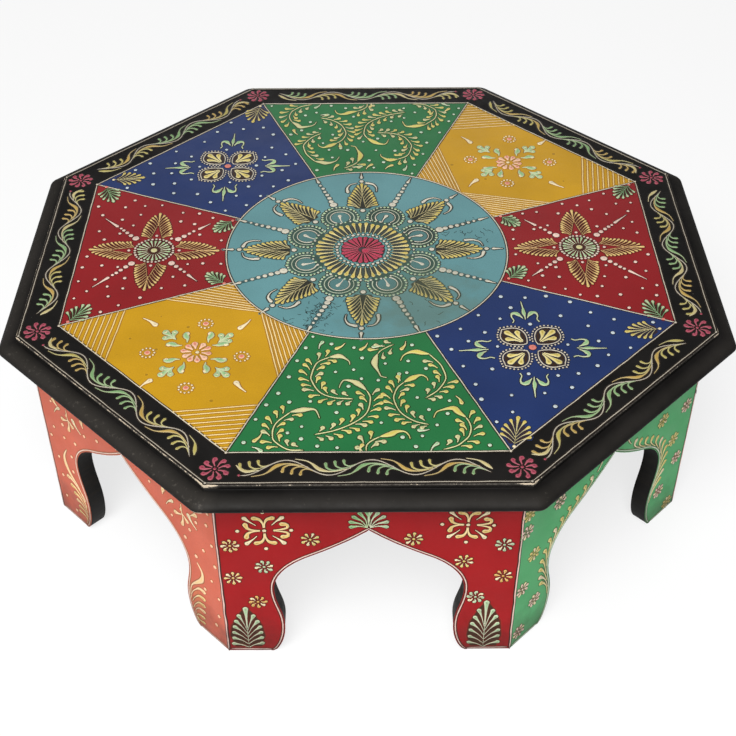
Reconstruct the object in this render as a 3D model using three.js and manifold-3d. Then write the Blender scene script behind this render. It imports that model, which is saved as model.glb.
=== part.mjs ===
// Octagonal low table: one routed top board on a ring of eight mitred boards with ogee arches.
// Millimetres, +Z up. The origin is on the floor under the middle of the top, and the front faces -Y.

import * as THREE from 'three';
import { mergeVertices } from 'three/addons/utils/BufferGeometryUtils.js';
import Module from 'manifold-3d';

const wasm = await Module();
wasm.setup();

// Whole table
const sides = 8;
const acrossFlats = 463;
const tableHeight = 157.4;

// Top board and its routed edge
const topThickness = 11;
const edgeOverhang = 11.9;
const edgeStepDepth = 4.3;
const ovoloDrop = 5.4;
const topArris = 0.5;
const undersideArris = 1;
const rimCornerRadius = 0.8;
const edgeCornerRadius = 8;
const cornerSteps = 3;
const ovoloSteps = 6;

// Ring of boards under the top
const ringSetback = 17.8;
const boardThickness = 12;
const mitreGap = 0.3;

// Ogee arch in each board: widths are of one leg, from the board's outer corner
const archHeight = 113;
const legToeWidth = 28.5;
const legBulgeWidth = 36.4;
const legBulgeHeight = 26;
const legWaistWidth = 31.1;
const legWaistHeight = 60;
const shoulderWidth = 55;
const shoulderHeight = 91;
const archCurveSteps = 8;

// How far each curve of the arch holds its direction before it bends away
const toeLiftShare = 0.12;
const bulgeHoldShare = 0.5;
const waistHoldShare = 0.4;
const shoulderReachShare = 0.64;
const shoulderDropShare = 0.24;
const browReachShare = 0.7;
const browRiseShare = 0.24;
const pointReachShare = 0.3;
const pointRiseShare = 0.6;

// Corner blocks
const blockLegLength = 30;
const blockDepth = 14;
const blockHeight = 32;
const glueGap = 0.3;

// Countersunk wood screws
const screwHeadRadius = 4;
const screwHeadRim = 0.5;
const screwHeadHeight = 3;
const screwShankRadius = 2;
const screwTipLength = 4;
const screwSides = 12;
const screwClearance = 0.3;
const topScrewLength = 40;
const panelScrewLength = 22;
const panelScrewBite = 8.5;
const panelScrewOffset = 17;

// One overrun serves every cut
const cutOverrun = 5;

// Sizes worked out from the ones above
const turn = (2 * Math.PI) / sides;
const halfTurn = turn / 2;
const edgeApothem = acrossFlats / 2 - edgeOverhang;
const undersideHeight = tableHeight - topThickness;
const ringApothem = acrossFlats / 2 - ringSetback;
const innerApothem = ringApothem - boardThickness;
const halfSide = ringApothem * Math.tan(halfTurn);

const paint = {
  black: new THREE.MeshStandardMaterial({ color: 0x262523, roughness: 0.45, metalness: 0 }),
  red: new THREE.MeshStandardMaterial({ color: 0xa5222b, roughness: 0.5, metalness: 0 }),
  green: new THREE.MeshStandardMaterial({ color: 0x4fa069, roughness: 0.5, metalness: 0 }),
  blue: new THREE.MeshStandardMaterial({ color: 0x2c3f86, roughness: 0.5, metalness: 0 }),
  coral: new THREE.MeshStandardMaterial({ color: 0xd9694f, roughness: 0.5, metalness: 0 }),
  bareWood: new THREE.MeshStandardMaterial({ color: 0xb98f5e, roughness: 0.8, metalness: 0 }),
  steel: new THREE.MeshStandardMaterial({ color: 0xa6a49c, roughness: 0.35, metalness: 1 }),
};

// Boards in turn, anticlockwise seen from above, starting with the one that faces +X
const boards = [
  { name: 'right', colour: paint.blue },
  { name: 'back_right', colour: paint.coral },
  { name: 'back', colour: paint.red },
  { name: 'back_left', colour: paint.green },
  { name: 'left', colour: paint.blue },
  { name: 'front_left', colour: paint.coral },
  { name: 'front', colour: paint.red },
  { name: 'front_right', colour: paint.green },
];

function toSolid(geometry) {
  const bare = geometry.clone();
  bare.deleteAttribute('normal');
  bare.deleteAttribute('uv');
  const merged = mergeVertices(bare);
  return new wasm.Manifold(new wasm.Mesh({
    numProp: 3,
    vertProperties: new Float32Array(merged.attributes.position.array),
    triVerts: new Uint32Array(merged.index.array),
  }));
}

function toGeometry(solid) {
  const mesh = solid.getMesh();
  const geometry = new THREE.BufferGeometry();
  geometry.setAttribute('position', new THREE.BufferAttribute(mesh.vertProperties, 3));
  geometry.setIndex(new THREE.BufferAttribute(mesh.triVerts, 1));
  geometry.computeVertexNormals();
  return geometry;
}

function cut(geometry, cutters) {
  return toGeometry(cutters.reduce((solid, cutter) => solid.subtract(toSolid(cutter)), toSolid(geometry)));
}

// Section of the top board from the rim of its flat face down to its underside:
// how far it stands out from that rim, and its height
function edgeProfile() {
  const stepFoot = tableHeight - edgeStepDepth;
  const profile = [
    { out: -topArris, z: tableHeight },
    { out: 0, z: tableHeight - topArris },
    { out: 0, z: stepFoot },
  ];
  for (let i = 1; i <= ovoloSteps; i += 1) {
    const angle = (Math.PI / 2) * (i / ovoloSteps);
    profile.push({
      out: edgeOverhang * Math.sin(angle),
      z: stepFoot - ovoloDrop * (1 - Math.cos(angle)),
    });
  }
  profile.push({ out: edgeOverhang, z: undersideHeight + undersideArris });
  profile.push({ out: edgeOverhang - undersideArris, z: undersideHeight });
  return profile;
}

// The corners are crisp at the rim of the flat face and sanded rounder the further a ring stands out
function topBoardRing({ out, z }) {
  const outShare = Math.max(out, 0) / edgeOverhang;
  const radius = rimCornerRadius + (edgeCornerRadius - rimCornerRadius) * outShare;
  const centreReach = (edgeApothem + out - radius) / Math.cos(halfTurn);
  const points = [];
  for (let corner = 0; corner < sides; corner += 1) {
    const cornerAngle = halfTurn + corner * turn;
    for (let step = 0; step <= cornerSteps; step += 1) {
      const angle = cornerAngle - halfTurn + turn * (step / cornerSteps);
      points.push(
        centreReach * Math.cos(cornerAngle) + radius * Math.cos(angle),
        centreReach * Math.sin(cornerAngle) + radius * Math.sin(angle),
        z,
      );
    }
  }
  return points;
}

function topBoardGeometry() {
  const rings = edgeProfile().map(topBoardRing);
  const ringSize = sides * (cornerSteps + 1);
  const positions = [...rings.flat(), 0, 0, tableHeight, 0, 0, undersideHeight];
  const topCentre = rings.length * ringSize;
  const bottomCentre = topCentre + 1;
  const lastRing = (rings.length - 1) * ringSize;
  const index = [];
  for (let j = 0; j < ringSize; j += 1) {
    const next = (j + 1) % ringSize;
    index.push(topCentre, j, next);
    index.push(bottomCentre, lastRing + next, lastRing + j);
    for (let start = 0; start < lastRing; start += ringSize) {
      const below = start + ringSize;
      index.push(start + j, below + j, below + next);
      index.push(start + j, below + next, start + next);
    }
  }
  const geometry = new THREE.BufferGeometry();
  geometry.setAttribute('position', new THREE.Float32BufferAttribute(positions, 3));
  geometry.setIndex(index);
  return geometry;
}

// Half-width of the arch where one leg is this wide
function gapBeside(legWidth) {
  return halfSide - legWidth;
}

// Arch outline in the plane of the board: toe, bulge, waist, shoulder, point, and back down again
function archShape() {
  const toe = gapBeside(legToeWidth);
  const bulge = gapBeside(legBulgeWidth);
  const waist = gapBeside(legWaistWidth);
  const shoulder = gapBeside(shoulderWidth);
  const waistHold = (legWaistHeight - legBulgeHeight) * waistHoldShare;
  const shoulderRise = shoulderHeight - legWaistHeight;
  const pointRise = archHeight - shoulderHeight;

  const half = new THREE.CurvePath();
  half.add(new THREE.CubicBezierCurve(
    new THREE.Vector2(toe, 0),
    new THREE.Vector2((toe + bulge) / 2, legBulgeHeight * toeLiftShare),
    new THREE.Vector2(bulge, legBulgeHeight * bulgeHoldShare),
    new THREE.Vector2(bulge, legBulgeHeight),
  ));
  half.add(new THREE.CubicBezierCurve(
    new THREE.Vector2(bulge, legBulgeHeight),
    new THREE.Vector2(bulge, legBulgeHeight + waistHold),
    new THREE.Vector2(waist, legWaistHeight - waistHold),
    new THREE.Vector2(waist, legWaistHeight),
  ));
  half.add(new THREE.CubicBezierCurve(
    new THREE.Vector2(waist, legWaistHeight),
    new THREE.Vector2(waist, legWaistHeight + shoulderRise * waistHoldShare),
    new THREE.Vector2(
      shoulder + (waist - shoulder) * shoulderReachShare,
      shoulderHeight - shoulderRise * shoulderDropShare,
    ),
    new THREE.Vector2(shoulder, shoulderHeight),
  ));
  half.add(new THREE.CubicBezierCurve(
    new THREE.Vector2(shoulder, shoulderHeight),
    new THREE.Vector2(shoulder * browReachShare, shoulderHeight + pointRise * browRiseShare),
    new THREE.Vector2(shoulder * pointReachShare, shoulderHeight + pointRise * pointRiseShare),
    new THREE.Vector2(0, archHeight),
  ));
  const rightSide = half.getPoints(archCurveSteps);
  const leftSide = rightSide.slice(0, -1).reverse().map((p) => new THREE.Vector2(-p.x, p.y));
  const outline = [...rightSide, ...leftSide];
  outline.push(new THREE.Vector2(-toe, -cutOverrun), new THREE.Vector2(toe, -cutOverrun));
  return new THREE.Shape(outline);
}

// Turns a flat shape so that its X runs along the board, its Y goes up and its depth points outwards
const acrossBoard = new THREE.Matrix4().makeBasis(
  new THREE.Vector3(0, 1, 0),
  new THREE.Vector3(0, 0, 1),
  new THREE.Vector3(1, 0, 0),
);

function boardBlank() {
  const mitreInset = mitreGap / 2 / Math.cos(halfTurn);
  const outerHalf = halfSide - mitreInset;
  const innerHalf = innerApothem * Math.tan(halfTurn) - mitreInset;
  const plan = new THREE.Shape([
    new THREE.Vector2(innerApothem, -innerHalf),
    new THREE.Vector2(ringApothem, -outerHalf),
    new THREE.Vector2(ringApothem, outerHalf),
    new THREE.Vector2(innerApothem, innerHalf),
  ]);
  return new THREE.ExtrudeGeometry(plan, { depth: undersideHeight, bevelEnabled: false });
}

function archCutter() {
  const depth = boardThickness + 2 * cutOverrun;
  const geometry = new THREE.ExtrudeGeometry(archShape(), { depth, bevelEnabled: false });
  geometry.applyMatrix4(acrossBoard);
  geometry.translate(innerApothem - cutOverrun, 0, 0);
  return geometry;
}

// A screw points along +Z with the top of its head at zero. Grown by a clearance, it is its own hole.
function screwGeometry(length, clearance = 0) {
  const crown = clearance > 0 ? -length : 0;
  const profile = [
    new THREE.Vector2(0, crown),
    new THREE.Vector2(screwHeadRadius + clearance, crown),
    new THREE.Vector2(screwHeadRadius + clearance, screwHeadRim + clearance),
    new THREE.Vector2(screwShankRadius + clearance, screwHeadHeight + clearance),
    new THREE.Vector2(screwShankRadius + clearance, length - screwTipLength + clearance),
    new THREE.Vector2(0, length + clearance),
  ];
  const geometry = new THREE.LatheGeometry(profile, screwSides);
  geometry.rotateX(Math.PI / 2);
  return geometry;
}

// Places of a corner's three screws, in the frame of a corner that points along +X.
// A place is a matrix that carries the screw from its own frame to the corner's.
const innerCorner = innerApothem / Math.cos(halfTurn) - glueGap / Math.cos(halfTurn);
const blockUnderside = undersideHeight - blockHeight;

function screwPlace(position, direction) {
  const rotation = new THREE.Quaternion().setFromUnitVectors(new THREE.Vector3(0, 0, 1), direction);
  return new THREE.Matrix4().compose(position, rotation, new THREE.Vector3(1, 1, 1));
}

const topScrewPlace = screwPlace(
  new THREE.Vector3(innerCorner - blockDepth, 0, blockUnderside),
  new THREE.Vector3(0, 0, 1),
);

// Side is +1 for the board that lies anticlockwise of the corner and -1 for the other
function panelScrewPlace(side) {
  const outwards = new THREE.Vector3(Math.cos(halfTurn), side * Math.sin(halfTurn), 0);
  const along = new THREE.Vector3(-Math.sin(halfTurn), side * Math.cos(halfTurn), 0);
  const headDepth = panelScrewLength - panelScrewBite - glueGap;
  const head = new THREE.Vector3(innerCorner, 0, undersideHeight - blockHeight / 2)
    .addScaledVector(along, panelScrewOffset)
    .addScaledVector(outwards, -headDepth);
  return screwPlace(head, outwards);
}

const cornerScrews = [
  { name: (corner) => `top_screw_${corner}`, length: topScrewLength, place: topScrewPlace },
  { name: (corner) => `panel_screw_${corner}a`, length: panelScrewLength, place: panelScrewPlace(-1) },
  { name: (corner) => `panel_screw_${corner}b`, length: panelScrewLength, place: panelScrewPlace(1) },
];

function screwHole({ length, place }) {
  return screwGeometry(length, screwClearance).applyMatrix4(place);
}

// Five-sided block: two faces lie on the boards, two ends stand square to them, and one face is inside
function cornerBlockGeometry() {
  const along = new THREE.Vector2(-Math.sin(halfTurn), Math.cos(halfTurn)).multiplyScalar(blockLegLength);
  const inwards = new THREE.Vector2(-Math.cos(halfTurn), -Math.sin(halfTurn)).multiplyScalar(blockDepth);
  const heel = new THREE.Vector2(innerCorner, 0);
  const end = heel.clone().add(along);
  const inner = end.clone().add(inwards);
  const plan = new THREE.Shape([
    heel,
    end,
    inner,
    new THREE.Vector2(inner.x, -inner.y),
    new THREE.Vector2(end.x, -end.y),
  ]);
  const geometry = new THREE.ExtrudeGeometry(plan, { depth: blockHeight, bevelEnabled: false });
  geometry.translate(0, 0, blockUnderside);
  return cut(geometry, cornerScrews.map(screwHole));
}

// Holes that the corners at both ends of a board leave in it, in the frame of a board facing +X
function boardScrewHoles() {
  const fromLeftCorner = screwHole(cornerScrews[2]).rotateZ(-halfTurn);
  const fromRightCorner = screwHole(cornerScrews[1]).rotateZ(halfTurn);
  return [fromLeftCorner, fromRightCorner];
}

function topBoardHoles() {
  const holes = [];
  for (let corner = 0; corner < sides; corner += 1) {
    holes.push(screwHole(cornerScrews[0]).rotateZ(halfTurn + corner * turn));
  }
  return holes;
}

function named(name, geometry, material) {
  const mesh = new THREE.Mesh(geometry, material);
  mesh.name = name;
  return mesh;
}

const group = new THREE.Group();
group.add(named('top_board', cut(topBoardGeometry(), topBoardHoles()), paint.black));

const boardGeometry = cut(boardBlank(), [archCutter(), ...boardScrewHoles()]);
boards.forEach(({ name, colour }, index) => {
  const board = named(`panel_${name}`, boardGeometry, colour);
  board.rotation.z = index * turn;
  group.add(board);
});

const blockGeometry = cornerBlockGeometry();
for (let index = 0; index < sides; index += 1) {
  const corner = new THREE.Group();
  corner.rotation.z = halfTurn + index * turn;
  corner.add(named(`corner_block_${index + 1}`, blockGeometry, paint.bareWood));
  cornerScrews.forEach(({ name, length, place }) => {
    const screw = named(name(index + 1), screwGeometry(length), paint.steel);
    screw.applyMatrix4(place);
    corner.add(screw);
  });
  group.add(corner);
}

export default group;
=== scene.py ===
"""Looks of a low octagonal table with hand-painted, raised ornament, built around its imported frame.

Drawing is done in millimetres on each painted surface; meshes are placed in metres.
"""

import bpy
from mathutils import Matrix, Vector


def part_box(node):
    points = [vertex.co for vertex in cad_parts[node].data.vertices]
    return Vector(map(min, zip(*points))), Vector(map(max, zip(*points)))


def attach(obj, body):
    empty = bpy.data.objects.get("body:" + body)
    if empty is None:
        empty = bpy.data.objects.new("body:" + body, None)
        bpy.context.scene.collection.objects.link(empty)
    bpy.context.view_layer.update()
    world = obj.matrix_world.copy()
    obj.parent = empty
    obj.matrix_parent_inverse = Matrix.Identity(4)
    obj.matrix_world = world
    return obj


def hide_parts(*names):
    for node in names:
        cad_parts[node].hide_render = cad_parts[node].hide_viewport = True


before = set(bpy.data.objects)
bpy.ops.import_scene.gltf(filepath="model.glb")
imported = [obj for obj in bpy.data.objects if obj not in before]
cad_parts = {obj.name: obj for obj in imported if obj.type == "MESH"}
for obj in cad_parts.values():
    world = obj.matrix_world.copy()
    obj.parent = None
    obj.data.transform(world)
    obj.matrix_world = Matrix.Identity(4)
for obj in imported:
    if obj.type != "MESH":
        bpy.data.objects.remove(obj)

import copy
import random
from math import atan2, copysign, cos, hypot, pi, radians, sin, tan
from random import uniform

import bmesh
import bpy
import numpy as np
from mathutils import Matrix, Vector

random.seed(11)
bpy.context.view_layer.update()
MM = 0.001

# Sizes in millimetres, taken from the frame
SIDES = 8
TURN = 2 * pi / SIDES
HALF_TURN = TURN / 2
QUARTER = pi / 2
TOP_LOW, TOP_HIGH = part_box("top_board")
FRONT_LOW, FRONT_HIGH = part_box("panel_front")
ACROSS_FLATS = (TOP_HIGH[0] - TOP_LOW[0]) / MM
TABLE_HEIGHT = TOP_HIGH[2] / MM
UNDERSIDE = TOP_LOW[2] / MM
RING_APOTHEM = -FRONT_LOW[1] / MM
BOARD_THICKNESS = (FRONT_HIGH[1] - FRONT_LOW[1]) / MM
HALF_SIDE = RING_APOTHEM * tan(HALF_TURN)

# Raised paint: its height, the room kept for it on the top, the coat under it and how deep it is bedded
RELIEF = 0.55
PAINT_ROOM = 0.7
GROUND = TABLE_HEIGHT - PAINT_ROOM
COAT = 0.2
BED = 0.006
# A thin stroke stands lower: its least share of the height, and the half width from which it has all of it
LEAST_RISE, FULL_REACH = 0.35, 1.1
# A stroke's section between its edge and its crest, in shares of its half width and of its height
SECTION_REACH, SECTION_RISE = (0.94, 0.55), (0.5, 0.93)
TIP = 0.03
# The dark outline beside a stroke: its reach, its height, where the stroke rises and how far the dark fades
FOOT = 0.38
FOOT_RISE = 0.03
BRINK = 0.05
HALO_SHARE = 2.8
# The round head of a stroke, in shares of its width: stations beyond its middle and the width at each
HEAD_AHEAD = np.array([[0.18], [0.32], [0.42], [0.48]])
HEAD_WIDTH = np.array([0.93, 0.77, 0.54, 0.28])
# A head is hollow from this width, and lower and darker there by these shares. A dot has a dimple.
HOLLOW_WIDTH, HOLLOW_RISE, HOLLOW_SHADE = 1.9, 0.62, 0.55
DIMPLE = 0.72
# Flat stains lie at slightly different heights, so that no two that overlap lie in one plane
STAIN = 0.014
STAIN_STEP = 0.0015
STAIN_LAYERS = 40
STAIN_BED = 0.001
# The darker border of each painted area
WASH = 0.8
WASH_WIDTH = 4.0

# Routed edge of the top board
EDGE_OVERHANG = 11.9
STEP_DEPTH = 4.3
OVOLO_DROP = 5.4
UNDER_ARRIS = 1.0
UNDER_BORDER = 12.0
RIM_CORNER_RADIUS = 0.8
EDGE_CORNER_RADIUS = 8.0
RIM_APOTHEM = ACROSS_FLATS / 2 - EDGE_OVERHANG
CORNER_STEPS = 8
CORNER_WORN = 9.0
# How much each side and each corner is rubbed, from the right-hand one anticlockwise. The same shares set
# the painted sheen on the rounded edge, strongest on the left
RUBBED_AND_SHEEN_SIDES = (0.9, 0.85, 0.8, 0.9, 1.12, 1.18, 1.0, 0.95)
RUBBED_AND_SHEEN_CORNERS = (0.9, 0.85, 0.85, 0.95, 0.95, 1.2, 1.0, 0.85)

# Painted layout of the top
BAND_APOTHEM = 194.3
DISC_RADIUS = 94.8
ROSETTE_RADIUS = 224.0
RIM_LINE_INSET = 1.7
# On the side boards the coat stops short of the top, and lines run beside the arch and on the feet
COAT_GAP = 0.3
ARCH_LINE_INSET = 1.25
FOOT_LINE_HEIGHT = 2.0

# Ogee arch in each side board: widths are of one leg, from the board's outer corner
ARCH_HEIGHT = 113.0
LEG_TOE, LEG_BULGE, LEG_WAIST, SHOULDER = 28.5, 36.4, 31.1, 55.0
BULGE_HEIGHT, WAIST_HEIGHT, SHOULDER_HEIGHT = 26.0, 60.0, 91.0
ARCH_STEPS = 12
BOARD_ARRIS = 0.7
MITRE_GAP, MITRE_SPREAD = 0.15, 0.2
TOP_GAP = 0.05


def srgb(red, green, blue):
    """A colour as it is seen, 0 to 255, in the linear values that a shader takes."""
    shares = np.array([red, green, blue]) / 255
    return np.where(shares <= 0.04045, shares / 12.92, ((shares + 0.055) / 1.055) ** 2.4)


def tint(*levels):
    """A raised stroke's colour on its crest and, where six levels are given, another along its edges."""
    return srgb(*levels[:3]), srgb(*levels[-3:])


IVORY = tint(204, 194, 174)
ASH = tint(180, 190, 166)
CREAM = tint(230, 214, 176)
BUFF = tint(232, 206, 146)
FROST = tint(196, 206, 208)
SHELL = tint(226, 198, 182)
PEACH = tint(242, 196, 160)
BLUSH = tint(236, 190, 160)
CORAL = tint(220, 130, 116)
SALMON = tint(220, 128, 108, 236, 198, 168)
GOLD = tint(206, 184, 84, 224, 210, 152)
AMBER = tint(200, 148, 66, 222, 186, 120)
PLUME = tint(216, 192, 78, 188, 176, 128)
FEATHER = tint(222, 198, 124, 198, 158, 106)
HONEY = tint(236, 200, 138, 238, 208, 168)
BEAD = tint(206, 200, 182)
STEM = tint(204, 202, 148)
OLIVE = tint(172, 158, 74, 180, 172, 120)
OCHRE = tint(176, 142, 62, 182, 162, 110)
BLADE = tint(108, 152, 96, 152, 172, 130)
PALE = tint(186, 170, 112, 194, 184, 144)
DUSTY = tint(156, 58, 78, 172, 88, 102)
LINE = tint(176, 168, 152)
PINKISH = tint(222, 190, 178)
SAGE = tint(150, 190, 142, 208, 212, 182)
SPRAY = tint(208, 210, 172, 130, 168, 122)
LEAF = tint(110, 176, 112, 190, 208, 162)
FERN = tint(128, 178, 120, 196, 204, 164)
MINT = tint(186, 208, 184, 204, 214, 190)
PINK = tint(176, 54, 78, 170, 72, 88)
TAN = tint(214, 178, 92, 232, 208, 156)
VINE = tint(208, 190, 88, 204, 196, 128)
STRAW = tint(206, 198, 142, 196, 194, 148)
CRACK = tint(30, 46, 44)
SMOKE = srgb(34, 24, 18)
UMBER = srgb(52, 34, 20)
ROSE = srgb(164, 70, 78)
BLACK_GROUND = srgb(22, 21, 19)
TURQUOISE_GROUND = srgb(101, 150, 154)
# Grey of rubbed black paint, also the colour of the painted sheen on the rounded edge
RUBBED_AND_SHEEN_GREY = srgb(112, 106, 98)


def polar(radius, angle):
    return np.array([radius * cos(angle), radius * sin(angle)])


def unit(vectors):
    """The same directions at a length of one."""
    return vectors / np.maximum(np.linalg.norm(vectors, axis=-1, keepdims=True), 1e-9)


def leftward(vectors):
    """The same vectors turned a quarter to the left."""
    return np.stack([-vectors[..., 1], vectors[..., 0]], -1)


def measured(path):
    """The distance along a path to each of its points."""
    return np.append(0, np.cumsum(np.linalg.norm(np.diff(path, axis=0), axis=1)))


def way(path):
    """How far along a path each of its points lies, as a share of its length."""
    return measured(path) / measured(path)[-1]


def resample(path, step):
    """The same path with its points at even steps."""
    length = measured(path)
    at = np.linspace(0, length[-1], max(3, int(round(length[-1] / step)) + 1))
    return np.stack([np.interp(at, length, path[:, k]) for k in (0, 1)], 1)


def spline(points, step):
    """A smooth curve through given points, resampled at even steps."""
    p = np.array(points, float)
    p = np.vstack([2 * p[0] - p[1], p, 2 * p[-1] - p[-2]])
    t = np.linspace(0, 1, 13)[:-1, None]
    dense = []
    for a, b, c, d in zip(p, p[1:], p[2:], p[3:]):
        bend = 2 * a - 5 * b + 4 * c - d
        twist = 3 * b - a - 3 * c + d
        dense.append(0.5 * (2 * b + (c - a) * t + bend * t ** 2 + twist * t ** 3))
    return resample(np.vstack([*dense, p[-2:-1]]), step)


def bezier(start, pull_start, pull_end, end):
    t = np.linspace(0, 1, ARCH_STEPS + 1)[:, None]
    near = (1 - t) ** 3 * start + 3 * (1 - t) ** 2 * t * pull_start
    return near + 3 * (1 - t) * t ** 2 * pull_end + t ** 3 * end


def arc(radius, start, end, step, centre=(0, 0)):
    """Points along an arc between two angles in degrees."""
    count = max(3, int(abs(radians(end - start)) * radius / step) + 1)
    return np.array([centre + polar(radius, radians(a)) for a in np.linspace(start, end, count)])


def unsteady(start, end, step=7.0, sway=0.16):
    """A straight line drawn by hand."""
    start, end = np.array([start, end], float)
    count = max(3, int(np.linalg.norm(end - start) / step) + 1)
    shares = np.linspace(0, 1, count)[:, None]
    sways = np.array([uniform(-sway, sway) for _ in shares])
    sways[[0, -1]] = 0
    points = start * (1 - shares) + end * shares
    return resample(points + leftward(unit(end - start)) * sways[:, None], 3.2)


def framed(rows, ends):
    """Rows with one more before the first and one after the last."""
    first, last = np.broadcast_to(ends, (2, rows.shape[1]))
    return np.vstack([first, rows, last])


def distance_to(outline, points):
    """Distance from each point to the nearest side of a closed outline."""
    a, b, p = outline[None], np.roll(outline, -1, axis=0)[None], points[:, None]
    along = ((p - a) * (b - a)).sum(2) / np.maximum(((b - a) ** 2).sum(2), 1e-9)
    nearest = a + np.clip(along, 0, 1)[:, :, None] * (b - a)
    return np.linalg.norm(p - nearest, axis=2).min(1)


def inside(outline, points):
    """Whether each point lies within a closed outline."""
    a, b = outline, np.roll(outline, -1, axis=0)
    x, y = points[:, :1], points[:, 1:]
    crosses = (a[:, 1] > y) != (b[:, 1] > y)
    rise = np.where(b[:, 1] == a[:, 1], 1, b[:, 1] - a[:, 1])
    at = a[:, 0] + (y - a[:, 1]) * (b[:, 0] - a[:, 0]) / rise
    return (crosses & (x < at)).sum(1) % 2 == 1


def on_top(points, heights):
    return np.column_stack([points, GROUND + heights]) * MM


def on_border(points, heights):
    return on_top(points, heights - COAT / 2)


def on_upright(facing, reach, slope=0.0):
    """Places points of an upright face, x to its right seen from outside and y upwards. The face stands out
    by its reach, less a slope on both sides of its middle."""
    c, s = cos(facing), sin(facing)

    def place(points, heights):
        x, y = points.T
        out = reach - np.abs(x) * slope + heights
        return np.column_stack([out * c - x * s, out * s + x * c, y]) * MM

    return place


def bands(count, rings, wrap=False, flip=False):
    """Four-sided faces between rings of points that follow each other in a list."""
    faces = []
    for ring in range(rings if wrap else rings - 1):
        near, far = ring * count, (ring + 1) % rings * count
        for i in range(count):
            j = (i + 1) % count
            first, last = (far + i, near + j) if flip else (near + j, far + i)
            faces.append((near + i, first, far + j, last))
    return faces


def fan(count, ring, tip, flip=False):
    """Triangles from a ring of points to a tip."""
    sides = [(ring + i, ring + (i + 1) % count) for i in range(count)]
    return [(b, a, tip) if flip else (a, b, tip) for a, b in sides]


def make_object(name, vertices, faces, material, colours=None, wear_and_sheen=None):
    mesh = bpy.data.meshes.new(name)
    mesh.from_pydata([tuple(v) for v in vertices], [], faces)
    if colours is not None:
        layer = mesh.color_attributes.new("paint", "FLOAT_COLOR", "POINT")
        layer.data.foreach_set("color", np.column_stack([colours, np.ones(len(colours))]).ravel())
    if wear_and_sheen is not None:
        mesh.attributes.new("wear_and_sheen", "FLOAT", "POINT").data.foreach_set("value", wear_and_sheen)
    mesh.polygons.foreach_set("use_smooth", [True] * len(mesh.polygons))
    mesh.set_sharp_from_angle(angle=radians(38))
    mesh.materials.append(material)
    obj = bpy.data.objects.new(name, mesh)
    bpy.context.scene.collection.objects.link(obj)
    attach(obj, "root")
    return obj


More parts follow.
